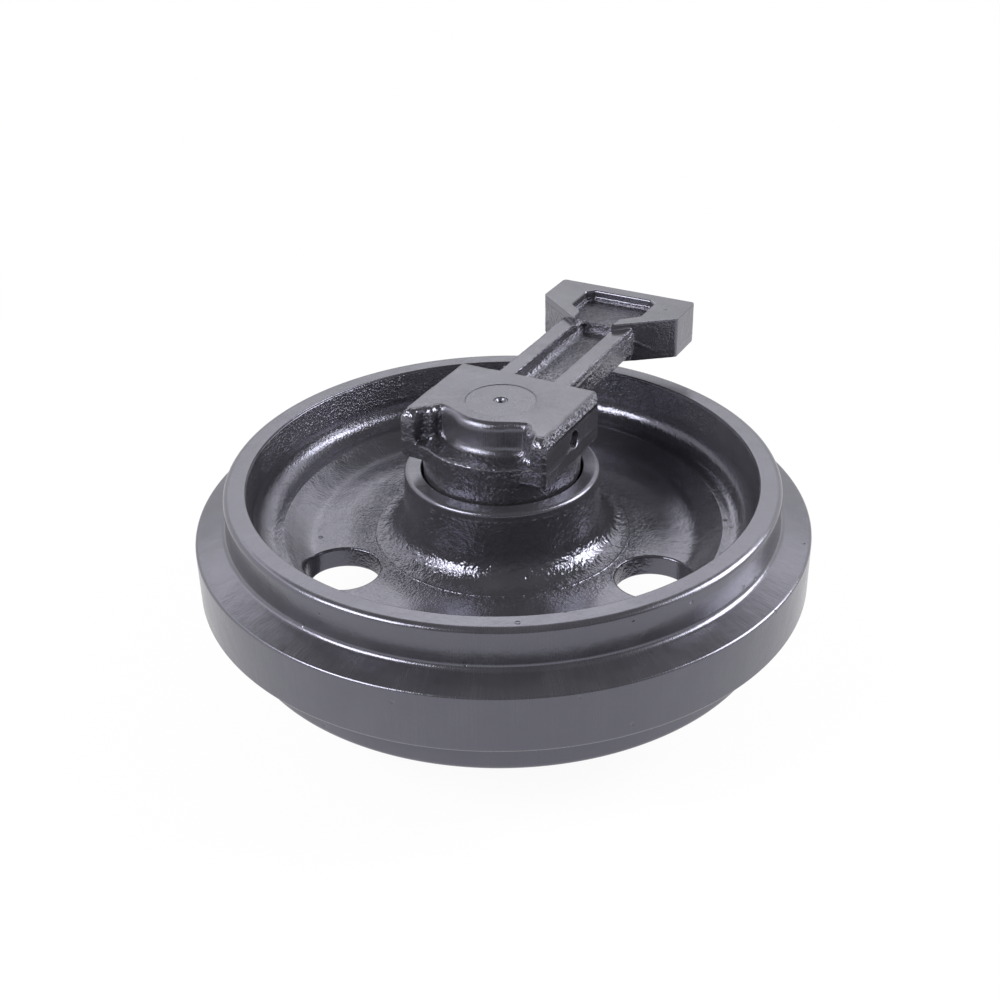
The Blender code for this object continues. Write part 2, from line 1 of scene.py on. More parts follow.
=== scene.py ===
# %% [markdown]
# # Front idler of a small excavator
#
# The idler is the wheel at the front end of a crawler track. A cast wheel with a centre
# flange turns on a fixed axle, and the axle is held by two cast brackets. Each bracket
# has a block that slides in the track frame and a ribbed arm with a hook head, where the
# track tensioner pulls.
#
# This lesson dresses the construction model of that idler. The model comes in as a frame
# of plain solids with their joints. The frame is never moved or resized: every new surface
# is worked out in the same space, then hangs from the body it turns with, and the solid it
# stands for is hidden. That keeps looks and motion apart, so each can be changed alone.

import bmesh
import bpy
import numpy as np
from mathutils import Matrix, Vector


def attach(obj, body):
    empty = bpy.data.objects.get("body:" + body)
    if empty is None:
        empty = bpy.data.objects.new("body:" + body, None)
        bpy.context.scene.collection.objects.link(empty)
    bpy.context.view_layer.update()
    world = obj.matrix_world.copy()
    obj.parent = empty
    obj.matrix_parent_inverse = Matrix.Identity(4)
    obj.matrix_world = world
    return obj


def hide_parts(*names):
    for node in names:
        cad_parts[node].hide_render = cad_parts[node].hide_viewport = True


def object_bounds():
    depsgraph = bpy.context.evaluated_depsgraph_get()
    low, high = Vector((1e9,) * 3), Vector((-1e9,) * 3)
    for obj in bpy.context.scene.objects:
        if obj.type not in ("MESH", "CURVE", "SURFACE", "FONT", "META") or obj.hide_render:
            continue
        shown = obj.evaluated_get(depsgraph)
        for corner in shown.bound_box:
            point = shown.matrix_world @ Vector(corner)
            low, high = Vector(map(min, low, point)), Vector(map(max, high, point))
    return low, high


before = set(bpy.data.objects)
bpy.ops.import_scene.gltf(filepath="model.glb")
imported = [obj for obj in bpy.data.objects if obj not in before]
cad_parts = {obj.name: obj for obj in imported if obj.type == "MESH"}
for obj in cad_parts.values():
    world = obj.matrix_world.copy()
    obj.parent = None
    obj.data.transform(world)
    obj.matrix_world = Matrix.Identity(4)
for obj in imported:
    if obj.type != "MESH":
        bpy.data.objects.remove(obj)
cad_low, cad_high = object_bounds()
FIXED, TURNING = "axle_and_brackets", "turning_wheel"
MM = 0.001
middle = (cad_low[2] + cad_high[2]) / 2 / MM
print("box in mm", [round((b - a) / MM, 1) for a, b in zip(cad_low, cad_high)])
print("middle plane at", middle)

# %% [markdown]
# ## Camera
#
# The view is a normal product view: about thirty degrees above the table, with a slightly
# long lens, so that the wheel's ellipses stay calm. A camera can be given as a point and
# a rotation, but six plain values say more to a reader: the turn round the object, the
# height above the horizon, a small roll, the distance, and how far the aim lies beside the
# centre of the wheel. Three turns, one after the other, make the rotation.

# %% Camera
CAMERA_AZIMUTH = np.radians(-61.39)
CAMERA_ELEVATION = np.radians(30.28)
CAMERA_ROLL = np.radians(-1.16)
CAMERA_DISTANCE = 1116.2 * MM
AIM_RIGHT, AIM_UP = -2.5 * MM, 26.3 * MM
LENS, SENSOR = 53.71, 36.0

turn = (
    Matrix.Rotation(CAMERA_AZIMUTH, 4, "Z")
    @ Matrix.Rotation(np.pi / 2 - CAMERA_ELEVATION, 4, "X")
    @ Matrix.Rotation(CAMERA_ROLL, 4, "Z")
)
camera = bpy.data.objects.new("camera", bpy.data.cameras.new("camera"))
camera.data.lens, camera.data.sensor_width = LENS, SENSOR
camera.matrix_world = (
    Matrix.Translation((0, 0, middle * MM)) @ turn
    @ Matrix.Translation((AIM_RIGHT, AIM_UP, CAMERA_DISTANCE))
)
bpy.context.scene.collection.objects.link(camera)
bpy.context.scene.camera = camera
print("camera at", [round(v, 3) for v in camera.matrix_world.translation])

# %% [markdown]
# ## From arrays to a mesh
#
# Every surface below is a set of numpy arrays: points in millimetres, faces as rows of
# point numbers, and one value for each point that says how rough the casting is there.
# One helper turns the arrays into a mesh, and lifts it from the wheel's middle plane to
# its height in the frame. Corners that turn sharply stay crisp, the rest is shaded smooth.

# %% Mesh helpers
SAME_PLACE = 0.01
SHARP_ANGLE = np.radians(38)


def mesh_from(name, points, faces, cast):
    """A mesh of points (mm, height from the middle plane) with "cast" stored on its points."""
    mesh = bpy.data.meshes.new(name)
    mesh.vertices.add(len(points))
    mesh.vertices.foreach_set("co", np.ascontiguousarray(points * MM, np.float32).ravel())
    mesh.loops.add(faces.size)
    mesh.loops.foreach_set("vertex_index", faces.astype(np.int32).ravel())
    mesh.polygons.add(len(faces))
    starts = np.arange(0, faces.size, faces.shape[1], dtype=np.int32)
    mesh.polygons.foreach_set("loop_start", starts)
    mesh.update(calc_edges=True)
    stored = mesh.attributes.new("cast", "FLOAT", "POINT")
    stored.data.foreach_set("value", cast.astype(np.float32))
    mesh.validate()
    return mesh


def welded(mesh):
    """The mesh with points in the same place made one, and its faces turned outwards."""
    bm = bmesh.new()
    bm.from_mesh(mesh)
    bmesh.ops.remove_doubles(bm, verts=bm.verts, dist=SAME_PLACE * MM)
    bmesh.ops.recalc_face_normals(bm, faces=bm.faces)
    bm.to_mesh(mesh)
    bm.free()
    return mesh


def read(mesh, what="co"):
    """The mesh's points (mm), their normals, or their cast values, as an array."""
    if what == "cast":
        values = np.empty(len(mesh.vertices), np.float32)
        mesh.attributes["cast"].data.foreach_get("value", values)
        return values.astype(float)
    values = np.empty(len(mesh.vertices) * 3, np.float32)
    if what == "normal":
        mesh.vertex_normals.foreach_get("vector", values)
        return values.reshape(-1, 3).astype(float)
    mesh.vertices.foreach_get("co", values)
    return values.reshape(-1, 3).astype(float) / MM


def finished(mesh, material, body, slot, *nodes):
    """The piece of this mesh, on its body, in place of those solids."""
    mesh.shade_smooth()
    mesh.set_sharp_from_angle(angle=SHARP_ANGLE)
    mesh.transform(Matrix.Translation((0, 0, middle * MM)))
    mesh.materials.append(material)
    piece = bpy.data.objects.new(mesh.name, mesh)
    bpy.context.scene.collection.objects.link(piece)
    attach(piece, body)
    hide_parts(*nodes)
    mesh.calc_loop_triangles()
    print(f"{piece.name}: {len(mesh.loop_triangles)} triangles")
    return piece


def both(name, mesh, material, body, slot, node):
    """The piece above, and the same turned over below, in place of upper_ and lower_node."""
    lower = mesh.copy()
    lower.transform(Matrix.Rotation(np.pi, 4, "X"))
    for side, piece in (("upper", mesh), ("lower", lower)):
        piece.name = f"{side}_{name}"
        finished(piece, material, body, slot, f"{side}_{node}")


def grid_faces(rows, columns, first=0, around=False):
    """Quads between the points of a grid; with around, the last row joins the first."""
    number = first + np.arange(rows * columns).reshape(rows, columns)
    if around:
        number = np.vstack([number, number[:1]])
    a, b = number[:-1], number[1:]
    return np.stack([a[:, :-1], b[:, :-1], b[:, 1:], a[:, 1:]], axis=-1).reshape(-1, 4)


# %% [markdown]
# ## A turned outline
#
# Wheel, axle, seals and pins are bodies of revolution: one outline, spun round an axis.
# The outline is written as the few corners that a drawing would dimension, each with its
# rounding. A helper puts the arcs in. It also adds a point close beside each arc, because
# smooth shading blends the normals of neighbouring faces: without that point the blend
# would reach over the whole flat face and make it look dented.

# %% Outlines
ARC_STEP, SMALL_ARC_STEP, SMALL = np.radians(13), np.radians(30), 2.0
BESIDE = 0.35
CAST_STEP = 4.0


def arc(corner, before, after, rounding):
    """Points of the arc that touches both sides of a corner.

    Its middle lies on the corner's bisector, and its spokes swing evenly from one side's
    normal to the other's: (start sin((1 - t) a) + end sin(t a)) / sin(a).
    """
    to_before = (before - corner) / np.linalg.norm(before - corner)
    to_after = (after - corner) / np.linalg.norm(after - corner)
    opening = np.arccos(np.clip(to_before @ to_after, -1, 1))
    reach = rounding / np.tan(opening / 2)
    bisector = (to_before + to_after) / np.linalg.norm(to_before + to_after)
    centre = corner + bisector * rounding / np.sin(opening / 2)
    start, end = corner + to_before * reach - centre, corner + to_after * reach - centre
    swing = np.pi - opening
    step = ARC_STEP if rounding > SMALL else SMALL_ARC_STEP
    t = np.linspace(0, 1, max(2, int(np.ceil(swing / step))) + 1)[:, None]
    spokes = (start * np.sin((1 - t) * swing) + end * np.sin(t * swing)) / np.sin(swing)
    points = centre + spokes
    first, last = points[0] + to_before * BESIDE, points[-1] + to_after * BESIDE
    return np.vstack([first, points, last])


def outline(corners):
    """The open outline through corners (radius, height, rounding, cast).

    cast belongs to the stretch after its corner. A cast stretch gets a point every few
    millimetres, so that its unevenness has something to bend. Returns the points (radius,
    height) and their cast values.
    """
    places = np.array([corner[:2] for corner in corners], float)
    runs = [places[:1]]
    for k in range(1, len(corners) - 1):
        rounding = corners[k][2]
        before, corner, after = places[k - 1:k + 2]
        runs.append(arc(corner, before, after, rounding) if rounding else corner[None])
    runs.append(places[-1:])
    points, cast = [], []
    for k, run in enumerate(runs):
        here, ahead = corners[max(k - 1, 0)][3], corners[k][3]
        points.append(run)
        cast.append(np.full(len(run), min(here, ahead)))
        if k + 1 < len(runs) and ahead:
            start, end = run[-1], runs[k + 1][0]
            count = int(np.linalg.norm(end - start) / CAST_STEP)
            t = np.linspace(0, 1, count + 2)[1:-1, None]
            points.append(start + (end - start) * t)
            cast.append(np.full(count, ahead))
    return np.vstack(points), np.concatenate(cast)


def polar(radius, angle, height):
    """Points (radius cos angle, radius sin angle, height), for numbers or whole grids."""
    radius, angle, height = np.broadcast_arrays(radius, angle, height)
    return np.stack([radius * np.cos(angle), radius * np.sin(angle), height], axis=-1)


def revolved(profile, turns):
    """Grid of the outline's points, one row for each turn."""
    return polar(profile[:, 0], turns[:, None], profile[:, 1])


def mirrored(half):
    """The corners above the middle plane, and then the same corners below it."""
    below = [(r, -w, rounding) for r, w, rounding, _ in reversed(half)]
    casts = [half[k - 1][3] for k in range(len(half) - 1, 0, -1)] + [half[0][3]]
    return half + [(*corner, cast) for corner, cast in zip(below, casts)]


# %% [markdown]
# ## Unevenness of a casting
#
# Sand castings are never flat. Their skin rolls gently, and paint settles over it in soft
# lumps. A noise texture could only fake that in the shading, so the points themselves are
# moved: each one goes along its normal by a sum of plane waves. A few dozen waves with
# random directions, lengths and phases already look like chance, and the seed makes the
# result the same each time. Machined faces have cast = 0 and stay where they are.

# %% Casting skin
LONG_WAVE, LONG_HEIGHT = 30.0, 0.10
SHORT_WAVE, SHORT_HEIGHT = 11.0, 0.045


def lumps(points, wavelength, seed, count=28):
    """Mean wave height at each point: the sum of sin(k . p + phase) over random waves."""
    chance = np.random.default_rng(seed)
    heading = chance.normal(size=(count, 3))
    heading /= np.linalg.norm(heading, axis=1, keepdims=True)
    number = 2 * np.pi / (wavelength * chance.uniform(0.7, 1.4, (count, 1)))
    phase = chance.uniform(0, 2 * np.pi, count)
    return np.sin(points @ (heading * number).T + phase).sum(axis=1) * np.sqrt(2 / count)


def roughened(mesh, seed):
    """Moves the cast points of a mesh along their normals by long and short lumps."""
    points, normal, cast = read(mesh), read(mesh, "normal"), read(mesh, "cast").clip(0, 1)
    rise = LONG_HEIGHT * lumps(points, LONG_WAVE, seed)
    rise += SHORT_HEIGHT * lumps(points, SHORT_WAVE, seed + 1)
    points += normal * (rise * cast)[:, None]
    mesh.vertices.foreach_set("co", np.ascontiguousarray(points * MM, np.float32).ravel())
    mesh.update()
    return mesh


# %% [markdown]
# ## Shader arithmetic
#
# A material is a formula too: where is it rough, where is it pitted, how do both mix. In
# the node editor a formula of ten terms is ten boxes and twenty wires. Here a small class
# wraps one output of a node, and plain plus, minus and times on it add the Math nodes.
# Everything that isn't arithmetic comes from its one method for nodes.

# %% Shader values
class Wire:
    """One output of a shader node. Arithmetic on it adds Math nodes to the same tree."""

    def __init__(self, tree, socket=None):
        self.tree, self.socket = tree, socket

    def node(self, kind, settings=None, sockets=None, output=None):
        """A new node: first its settings, then a value or a wire for each socket."""
        made = self.tree.nodes.new(kind)
        for name, value in (settings or {}).items():
            setattr(made, name, value)
        for name, value in (sockets or {}).items():
            socket = self.pick(made.inputs, name)
            if isinstance(value, Wire):
                self.tree.links.new(value.socket, socket)
            else:
                socket.default_value = value
        return Wire(self.tree, self.pick(made.outputs, output or 0))

    @staticmethod
    def pick(sockets, name):
        """The socket of that number, or the one in use that has that name."""
        if isinstance(name, int):
            return [s for s in sockets if s.enabled][name]
        return next(s for s in sockets if s.enabled and s.name == name)

    def maths(self, operation, *values):
        return self.node("ShaderNodeMath", {"operation": operation}, dict(enumerate(values)))

    def __add__(self, other):
        return self.maths("ADD", self, other)

    def __sub__(self, other):
        return self.maths("SUBTRACT", self, other)

    def __rsub__(self, other):
        return self.maths("SUBTRACT", other, self)

    def __mul__(self, other):
        return self.maths("MULTIPLY", self, other)

    __radd__ = __add__
    __rmul__ = __mul__

    def ramp(self, low, high):
        """0 below low, 1 above high, and a smooth step between (low may be above high)."""
        settings = {"interpolation_type": "SMOOTHSTEP"}
        ends = {"Value": self, "From Min": low, "From Max": high}
        return self.node("ShaderNodeMapRange", settings, ends)

    def noise(self, scale, detail=2.0):
        """Noise texture (about 0 to 1) on this wire as its place."""
        sockets = {"Vector": self, "Scale": scale, "Detail": detail}
        return self.node("ShaderNodeTexNoise", None, sockets)

    def scaled(self, *factors):
        """This wire's vector, each part times its factor."""
        return self.node(
            "ShaderNodeVectorMath", {"operation": "MULTIPLY"}, {0: self, 1: factors}
        )

    def dot(self, direction):
        """Dot product of this wire's vector and a fixed one."""
        ends = {0: self, 1: direction}
        return self.node("ShaderNodeVectorMath", {"operation": "DOT_PRODUCT"}, ends, "Value")

    def length(self):
        """Length of this wire's vector."""
        return self.node("ShaderNodeVectorMath", {"operation": "LENGTH"}, {0: self}, "Value")

    def colour_to(self, other, share):
        """A colour that goes from this one to the other as share goes from 0 to 1."""
        ends = {"Factor": share, "A": self, "B": other}
        return self.node("ShaderNodeMix", {"data_type": "RGBA"}, ends)


# %% [markdown]
# ## Paint over castings and machined faces
#
# The whole idler is sprayed charcoal after it is put together, so one paint covers rough
# and smooth metal alike. It looks like dark metal: it mirrors the studio where it faces
# the light, and goes almost black where it only sees itself. So it is a nearly black
# base under a hard, strongly reflecting surface. The "cast" value of the points says what
# lies beneath. Over a machined face (0) the film is even and satin, with faint tool lines.
# Over a casting (1) it is glossy and grainy, coarser on one side and flaky near the axis,
# with a few cold seams where the iron met itself. On the torch-cut edge of the bracket (2)
# it lies over upright furrows. The bump heights are in millimetres, because the Bump
# node's distance is one millimetre.

# %% Paint
CHARCOAL = (0.0300, 0.0290, 0.0330, 1)
CHARCOAL_DUSTY = (0.0420, 0.0410, 0.0460, 1)
PAINT_TINT = (0.81, 0.805, 1.0, 1)
PAINT_IOR = 2.0
GRAIN, PEEL, WRINKLE, ROLL = 1.10, 0.45, 0.9, 0.35
TOOL_LINE, HATCH, RIPPLE, PIT, SEAM, FURROW = 0.02, 0.07, 0.35, 0.4, 0.12, 3.2
GRAIN_SCALE, PEEL_SCALE, WRINKLE_SCALE, ROLL_SCALE = 620, 210, 150, 70
RIPPLE_SCALE, PIT_SCALE, SEAM_SCALE, SEAM_WIDTH = 55, 34.0, 15, 0.007
TOOL_SCALES, FURROW_SCALES, LINES_AROUND, LINES_ACROSS = (6, 6, 900), (600, 600, 170), 230, 30
COARSE_FROM, FLAKY_WITHIN = (-0.06, 0.09), (0.120, 0.085)


def mixed_colour(tree, first, second, share):
    """A wire with a colour between two given ones."""
    colours = []
    for value in (first, second):
        colour = Wire(tree).node("ShaderNodeRGB")
        colour.socket.default_value = value
        colours.append(colour)
    return colours[0].colour_to(colours[1], share)


def started(name):
    """A new material: itself, its tree, its shader's sockets and the place on the object."""
    material = bpy.data.materials.new(name)
    material.use_nodes = True
    tree = material.node_tree
    place = Wire(tree).node("ShaderNodeTexCoord", output="Object")
    return material, tree, tree.nodes["Principled BSDF"].inputs, place


def glossy_film(sockets):
    """Sets what all paint shares: a strong and slightly violet reflection."""
    sockets["IOR"].default_value = PAINT_IOR
    sockets["Specular Tint"].default_value = PAINT_TINT


def connect(tree, sockets, colour, roughness, height):
    """Wires colour, roughness and a relief in millimetres into the shader."""
    bump = height.node("ShaderNodeBump", None, {"Height": height, "Distance": MM})
    for name, wire in (("Base Color", colour), ("Roughness", roughness), ("Normal", bump)):
        tree.links.new(wire.socket, sockets[name])


def around_lines(place):
    """Fine noise that changes with the angle round the axis: scratches from hub to rim."""
    x, y = (place.node("ShaderNodeSeparateXYZ", None, {"Vector": place}, part) for part in "XY")
    reach = place.scaled(1, 1, 0).length()
    angle = x.maths("ARCTAN2", y, x)
    sockets = {"X": angle * LINES_AROUND, "Y": reach * LINES_ACROSS}
    flat = place.node("ShaderNodeCombineXYZ", None, sockets)
    return flat.noise(1.0, 2)


def casting_relief(place, cast, coarse_side):
    """Height in mm of grain, orange peel, wrinkles, slow rolls and cold seams."""
    patches = place.noise(30, 2).ramp(0.38, 0.60)
    coarse = place.dot(coarse_side).ramp(*COARSE_FROM)
    flaky = place.scaled(1, 1, 0).length().ramp(*FLAKY_WITHIN)
    share = (0.35 + 0.45 * patches + 0.6 * coarse) * (1 - 0.6 * flaky)
    grain = place.noise(GRAIN_SCALE, 2) * share * GRAIN
    off_half = place.noise(WRINKLE_SCALE, 2)
    wrinkles = off_half.maths("ABSOLUTE", off_half - 0.5) * (1 + flaky) * WRINKLE
    grain = grain + place.noise(PEEL_SCALE, 1) * PEEL + wrinkles
    far_from_half = place.noise(SEAM_SCALE, 4)
    far_from_half = far_from_half.maths("ABSOLUTE", far_from_half - 0.5)
    seams = (1 - far_from_half.ramp(0.0, SEAM_WIDTH)) * place.noise(9, 1).ramp(0.50, 0.60)
    return grain * cast * cast + (place.noise(ROLL_SCALE, 1) * ROLL - seams * SEAM) * cast


def paint(name, coarse_side):
    """Charcoal paint over machined (cast 0), rough cast (1) and torch-cut (2) iron."""
    material, tree, sockets, place = started(name)
    glossy_film(sockets)
    finish = place.node("ShaderNodeAttribute", {"attribute_name": "cast"}, output="Fac")
    cast = finish.maths("MINIMUM", finish, 1.0)
    torch = finish.maths("MAXIMUM", finish - 1, 0.0)
    machined = 1 - cast

    blotches = place.noise(38, 3).ramp(0.35, 0.72)
    hatch = around_lines(place)
    dust = blotches * 0.5 + hatch.ramp(0.3, 0.7) * machined * 0.5
    colour = mixed_colour(tree, CHARCOAL, CHARCOAL_DUSTY, dust)
    satin = 0.18 + 0.05 * blotches + 0.04 * place.noise(420, 2)
    gloss = 0.06 + 0.10 * place.noise(120, 2)

    lines = place.scaled(*TOOL_SCALES).noise(1.0, 2) * TOOL_LINE + hatch * HATCH
    lines = lines + place.noise(RIPPLE_SCALE, 4) * RIPPLE
    pits = 1 - place.node(
        "ShaderNodeTexVoronoi", None, {"Vector": place, "Scale": PIT_SCALE}, "Distance"
    ).ramp(0.03, 0.07)
    furrows = place.scaled(*FURROW_SCALES).noise(1.0, 2) * FURROW
    height = casting_relief(place, cast, coarse_side) + lines * machined
    height = height - pits * PIT + furrows * torch
    connect(tree, sockets, colour, satin * machined + gloss * cast, height)
    return material


wheel_paint = paint("wheel_paint", (-0.48, 0.88, 0.0))
bracket_paint = paint("bracket_paint", (1.0, 0.0, 0.0))

# %% [markdown]
# ## Wheel
#
# The wheel is one casting: hub, flat web with three round holes, and a rim with the centre
# flange between two treads. Spinning an outline gives hub and rim, but not the holes. A
# Boolean would cut them and leave long thin faces round each hole, which the casting
# skin couldn't bend. So the web is laid out as grids instead. Round each hole a patch
# runs from the hole's circle to a piece of the web bounded by two arcs and two spokes, and
# plain polar grids fill the web between the patches. All grids share their border points.

# %% Sizes of the wheel
TREAD_RADIUS, FLANGE_RADIUS = 202.0, 225.0
FLANGE_SIDE, SHOULDER_RISE = 21.1, 5.3
RIM_FACE, RIM_BORE, RIM_DRAFT = 55.7, 186.0, 5.0
WEB_SIDE, WEB_RISES, WEB_BEND, LEDGE_RADIUS, LEDGE = 8.0, 143.5, 4.0, 161.6, 17.0
HUB_RADIUS, HUB_DRAFT, HUB_FACE, HUB_FOOT, FOOT_STEP = 71.0, 3.0, 60.4, 95.0, 0.5
MOUTH_RADIUS, MOUTH_FLOOR = 59.0, 46.0
HOUSING_RADIUS, SEAL_FLOOR, SEAT_RISE, SEAT_STEP = 43.0, 30.0, 4.0, 3.0
HUB_BORE, CHAMBER_RADIUS, CHAMBER_SIDE = 29.3, 33.0, 8.0
HOLE_RADIUS, HOLE_CIRCLE, FIRST_HOLE = 27.1, 127.4, np.radians(23.7)
HOLE_EDGE, HOLES = 1.6, 3
ROUGH_WITHIN, CALM_BEYOND, CALM = 100.0, 118.0, 0.35
SHEET_INNER, SHEET_OUTER, SHEET_COLUMNS = 96.5, 157.4, 21
TURN_STEPS = 240
SECTOR, PATCH_SIDE, PATCH_RINGS = TURN_STEPS // HOLES, 14, 9
TURN = 2 * np.pi / TURN_STEPS


def web_side(radius):
    """Half the web's thickness: flat, then a straight slope up to the ledge.

    With d the distance past the foot of the slope, the rise goes as d + sqrt(d d + bend bend).
    """
    past, whole = radius - WEB_RISES, LEDGE_RADIUS - WEB_RISES
    share = (past + np.hypot(past, WEB_BEND)) / (whole + np.hypot(whole, WEB_BEND))
    return WEB_SIDE + (LEDGE - WEB_SIDE) * share


# %% Outlines of rim and hub
rise = [(radius, web_side(radius), 0, 0.5) for radius in (SHEET_OUTER, 158.5, 159.5, 160.5)]
rim_outline = mirrored(rise + [
    (LEDGE_RADIUS, LEDGE, 1.0, 0.5),
    (RIM_BORE - RIM_DRAFT, LEDGE, 15.0, 1),
    (RIM_BORE - 0.2, RIM_FACE - 2.5, 0, 1),
    (RIM_BORE, RIM_FACE, 0.9, 0),
    (TREAD_RADIUS, RIM_FACE, 4.4, 0),
    (TREAD_RADIUS, FLANGE_SIDE + SHOULDER_RISE, 4.5, 0.12),
    (FLANGE_RADIUS, FLANGE_SIDE, 2.4, 0),
])
hub_outline = mirrored([
    (SHEET_INNER, WEB_SIDE, 0, 1),
    (HUB_FOOT, WEB_SIDE, 0.3, 1),
    (HUB_FOOT - FOOT_STEP, WEB_SIDE + FOOT_STEP, 0.3, 1),
    (HUB_RADIUS + HUB_DRAFT, WEB_SIDE + FOOT_STEP, 20.0, 0.85),
    (HUB_RADIUS, HUB_FACE, 3.2, 0),
    (MOUTH_RADIUS, HUB_FACE, 0.6, 0),
    (MOUTH_RADIUS, MOUTH_FLOOR, 1.0, 0),
    (HOUSING_RADIUS, MOUTH_FLOOR, 0, 0),
    (HOUSING_RADIUS, SEAL_FLOOR + SEAT_RISE, 0, 0),
    (HOUSING_RADIUS - SEAT_STEP, SEAL_FLOOR, 0, 0),
    (HUB_BORE, SEAL_FLOOR, 0, 0),
    (HUB_BORE, CHAMBER_SIDE, 0, 0),
    (CHAMBER_RADIUS, CHAMBER_SIDE, 0, 0),
])
turns = FIRST_HOLE + TURN * (np.arange(TURN_STEPS) - SECTOR // 2)

# %% Web with its holes
def patch_border():
    """Radius and angle once round the patch: inner arc, spoke, outer arc, spoke."""
    side = TURN * PATCH_SIDE
    angles = np.linspace(-side, side, 2 * PATCH_SIDE + 1)
    radii = np.linspace(SHEET_INNER, SHEET_OUTER, SHEET_COLUMNS + 1)
    radius = np.concatenate([
        np.full(2 * PATCH_SIDE, SHEET_INNER), radii[:-1],
        np.full(2 * PATCH_SIDE, SHEET_OUTER), radii[:0:-1],
    ])
    angle = np.concatenate([
        angles[:-1], np.full(SHEET_COLUMNS, side), angles[:0:-1], np.full(SHEET_COLUMNS, -side),
    ])
    return radius, angle


def hole_grids(centre_angle):
    """Patches above and below one hole, and the hole's wall, as grids of points.

    A patch blends from circle to border: point (i, t) = (1 - t) circle_i + t border_i. The
    circle's points lie in the same directions from the hole's centre as the border's.
    """
    radius, angle = patch_border()
    border = polar(radius, centre_angle + angle, 0.0)
    centre = polar(HOLE_CIRCLE, centre_angle, 0.0)
    out = border - centre
    out /= np.linalg.norm(out, axis=1, keepdims=True)
    circle = centre + out * (HOLE_RADIUS + HOLE_EDGE)
    t = np.linspace(0, 1, PATCH_RINGS + 1)[None, :, None]
    patch = circle[:, None] * (1 - t) + border[:, None] * t
    grids = [patch + np.array((0, 0, side * WEB_SIDE)) for side in (1, -1)]
    wall, _ = outline([
        (HOLE_RADIUS + HOLE_EDGE, WEB_SIDE, 0, 1), (HOLE_RADIUS, WEB_SIDE, HOLE_EDGE, 1),
        (HOLE_RADIUS, -WEB_SIDE, HOLE_EDGE, 1), (HOLE_RADIUS + HOLE_EDGE, -WEB_SIDE, 0, 1),
    ])
    level = np.zeros((len(out), len(wall), 3))
    level[..., 2] = wall[:, 1]
    grids.append(centre + out[:, None] * wall[:, 0, None] + level)
    return grids


def raised(grid):
    """Web points, stretched in height so that the web's sides follow web_side."""
    reach = np.hypot(grid[..., 0], grid[..., 1])
    return grid * np.stack([1 + 0 * reach, 1 + 0 * reach, web_side(reach) / WEB_SIDE], axis=-1)


def web_cast(grid):
    """How rough the web is: calm over most of it, rough towards the hub."""
    reach = np.hypot(grid[..., 0], grid[..., 1])
    return np.interp(reach, (ROUGH_WITHIN, CALM_BEYOND), (1, CALM))


def web_grids():
    """Both sheets between the holes, and both patches and the wall of each hole."""
    radii = np.linspace(SHEET_INNER, SHEET_OUTER, SHEET_COLUMNS + 1)
    for k in range(HOLES):
        centre_angle = FIRST_HOLE + TURN * SECTOR * k
        between = centre_angle + TURN * np.arange(PATCH_SIDE, SECTOR - PATCH_SIDE + 1)
        for side in (1, -1):
            yield polar(radii[None, :], between[:, None], side * WEB_SIDE), False
        for grid in hole_grids(centre_angle):
            yield grid, True


def wheel_mesh():
    """Rim, hub, and three sectors of web with their holes, welded to one closed surface."""
    grids = []
    for corners in (rim_outline, hub_outline):
        profile, cast = outline(corners)
        grids.append((revolved(profile, turns), np.tile(cast, len(turns)), True))
    for grid, around in web_grids():
        grids.append((raised(grid), web_cast(grid).ravel(), around))
    points, faces, cast, count = [], [], [], 0
    for grid, rough, around in grids:
        rows, columns = grid.shape[:2]
        points.append(grid.reshape(-1, 3))
        faces.append(grid_faces(rows, columns, count, around))
        cast.append(rough)
        count += rows * columns
    mesh = mesh_from("wheel_casting", np.vstack(points), np.vstack(faces), np.concatenate(cast))
    return roughened(welded(mesh), seed=11)


finished(wheel_mesh(), wheel_paint, TURNING, "wheel_paint", "wheel")

# %% [markdown]
# ## Brackets
#
# A bracket is one casting too, but no outline could be spun or extruded to give it: a
# round foot grows into a block, the block into a ribbed arm, and every inner corner is
# filled by a generous fillet. Bevel tools struggle where so many fillets meet. A distance
# formula doesn't. Each simple form is a function of x, y and height that is negative
# inside, zero on the surface and positive outside. Two forms are joined by taking the
# smaller value, and cut by taking the larger one. A rounded minimum or maximum leaves
# a fillet of a chosen radius at the seam, wherever the seam runs.

# %% Joining and cutting with fillets
def keep(a, b, radius):
    """What lies in both a and b; their common edge is rounded by the radius.

    min(-r, max(a, b)) + length of (max(r + a, 0), max(r + b, 0)).
    """
    both = np.hypot(np.maximum(radius + a, 0), np.maximum(radius + b, 0))
    return np.minimum(-radius, np.maximum(a, b)) + both


def join(a, b, radius):
    """What lies in a or b; the inner corner between them gets a fillet of the radius."""
    return -keep(-a, -b, radius)


def cut(a, b, radius):
    """What lies in a and not in b; the edge that the cut leaves is rounded."""
    return keep(a, -b, radius)


def slope(across, along, start, end):
    """Distance to the line from start to end, negative on its left (across, along)."""
    (x0, y0), (x1, y1) = start, end
    length = np.hypot(x1 - x0, y1 - y0)
    return ((across - x0) * (y1 - y0) - (along - y0) * (x1 - x0)) / length


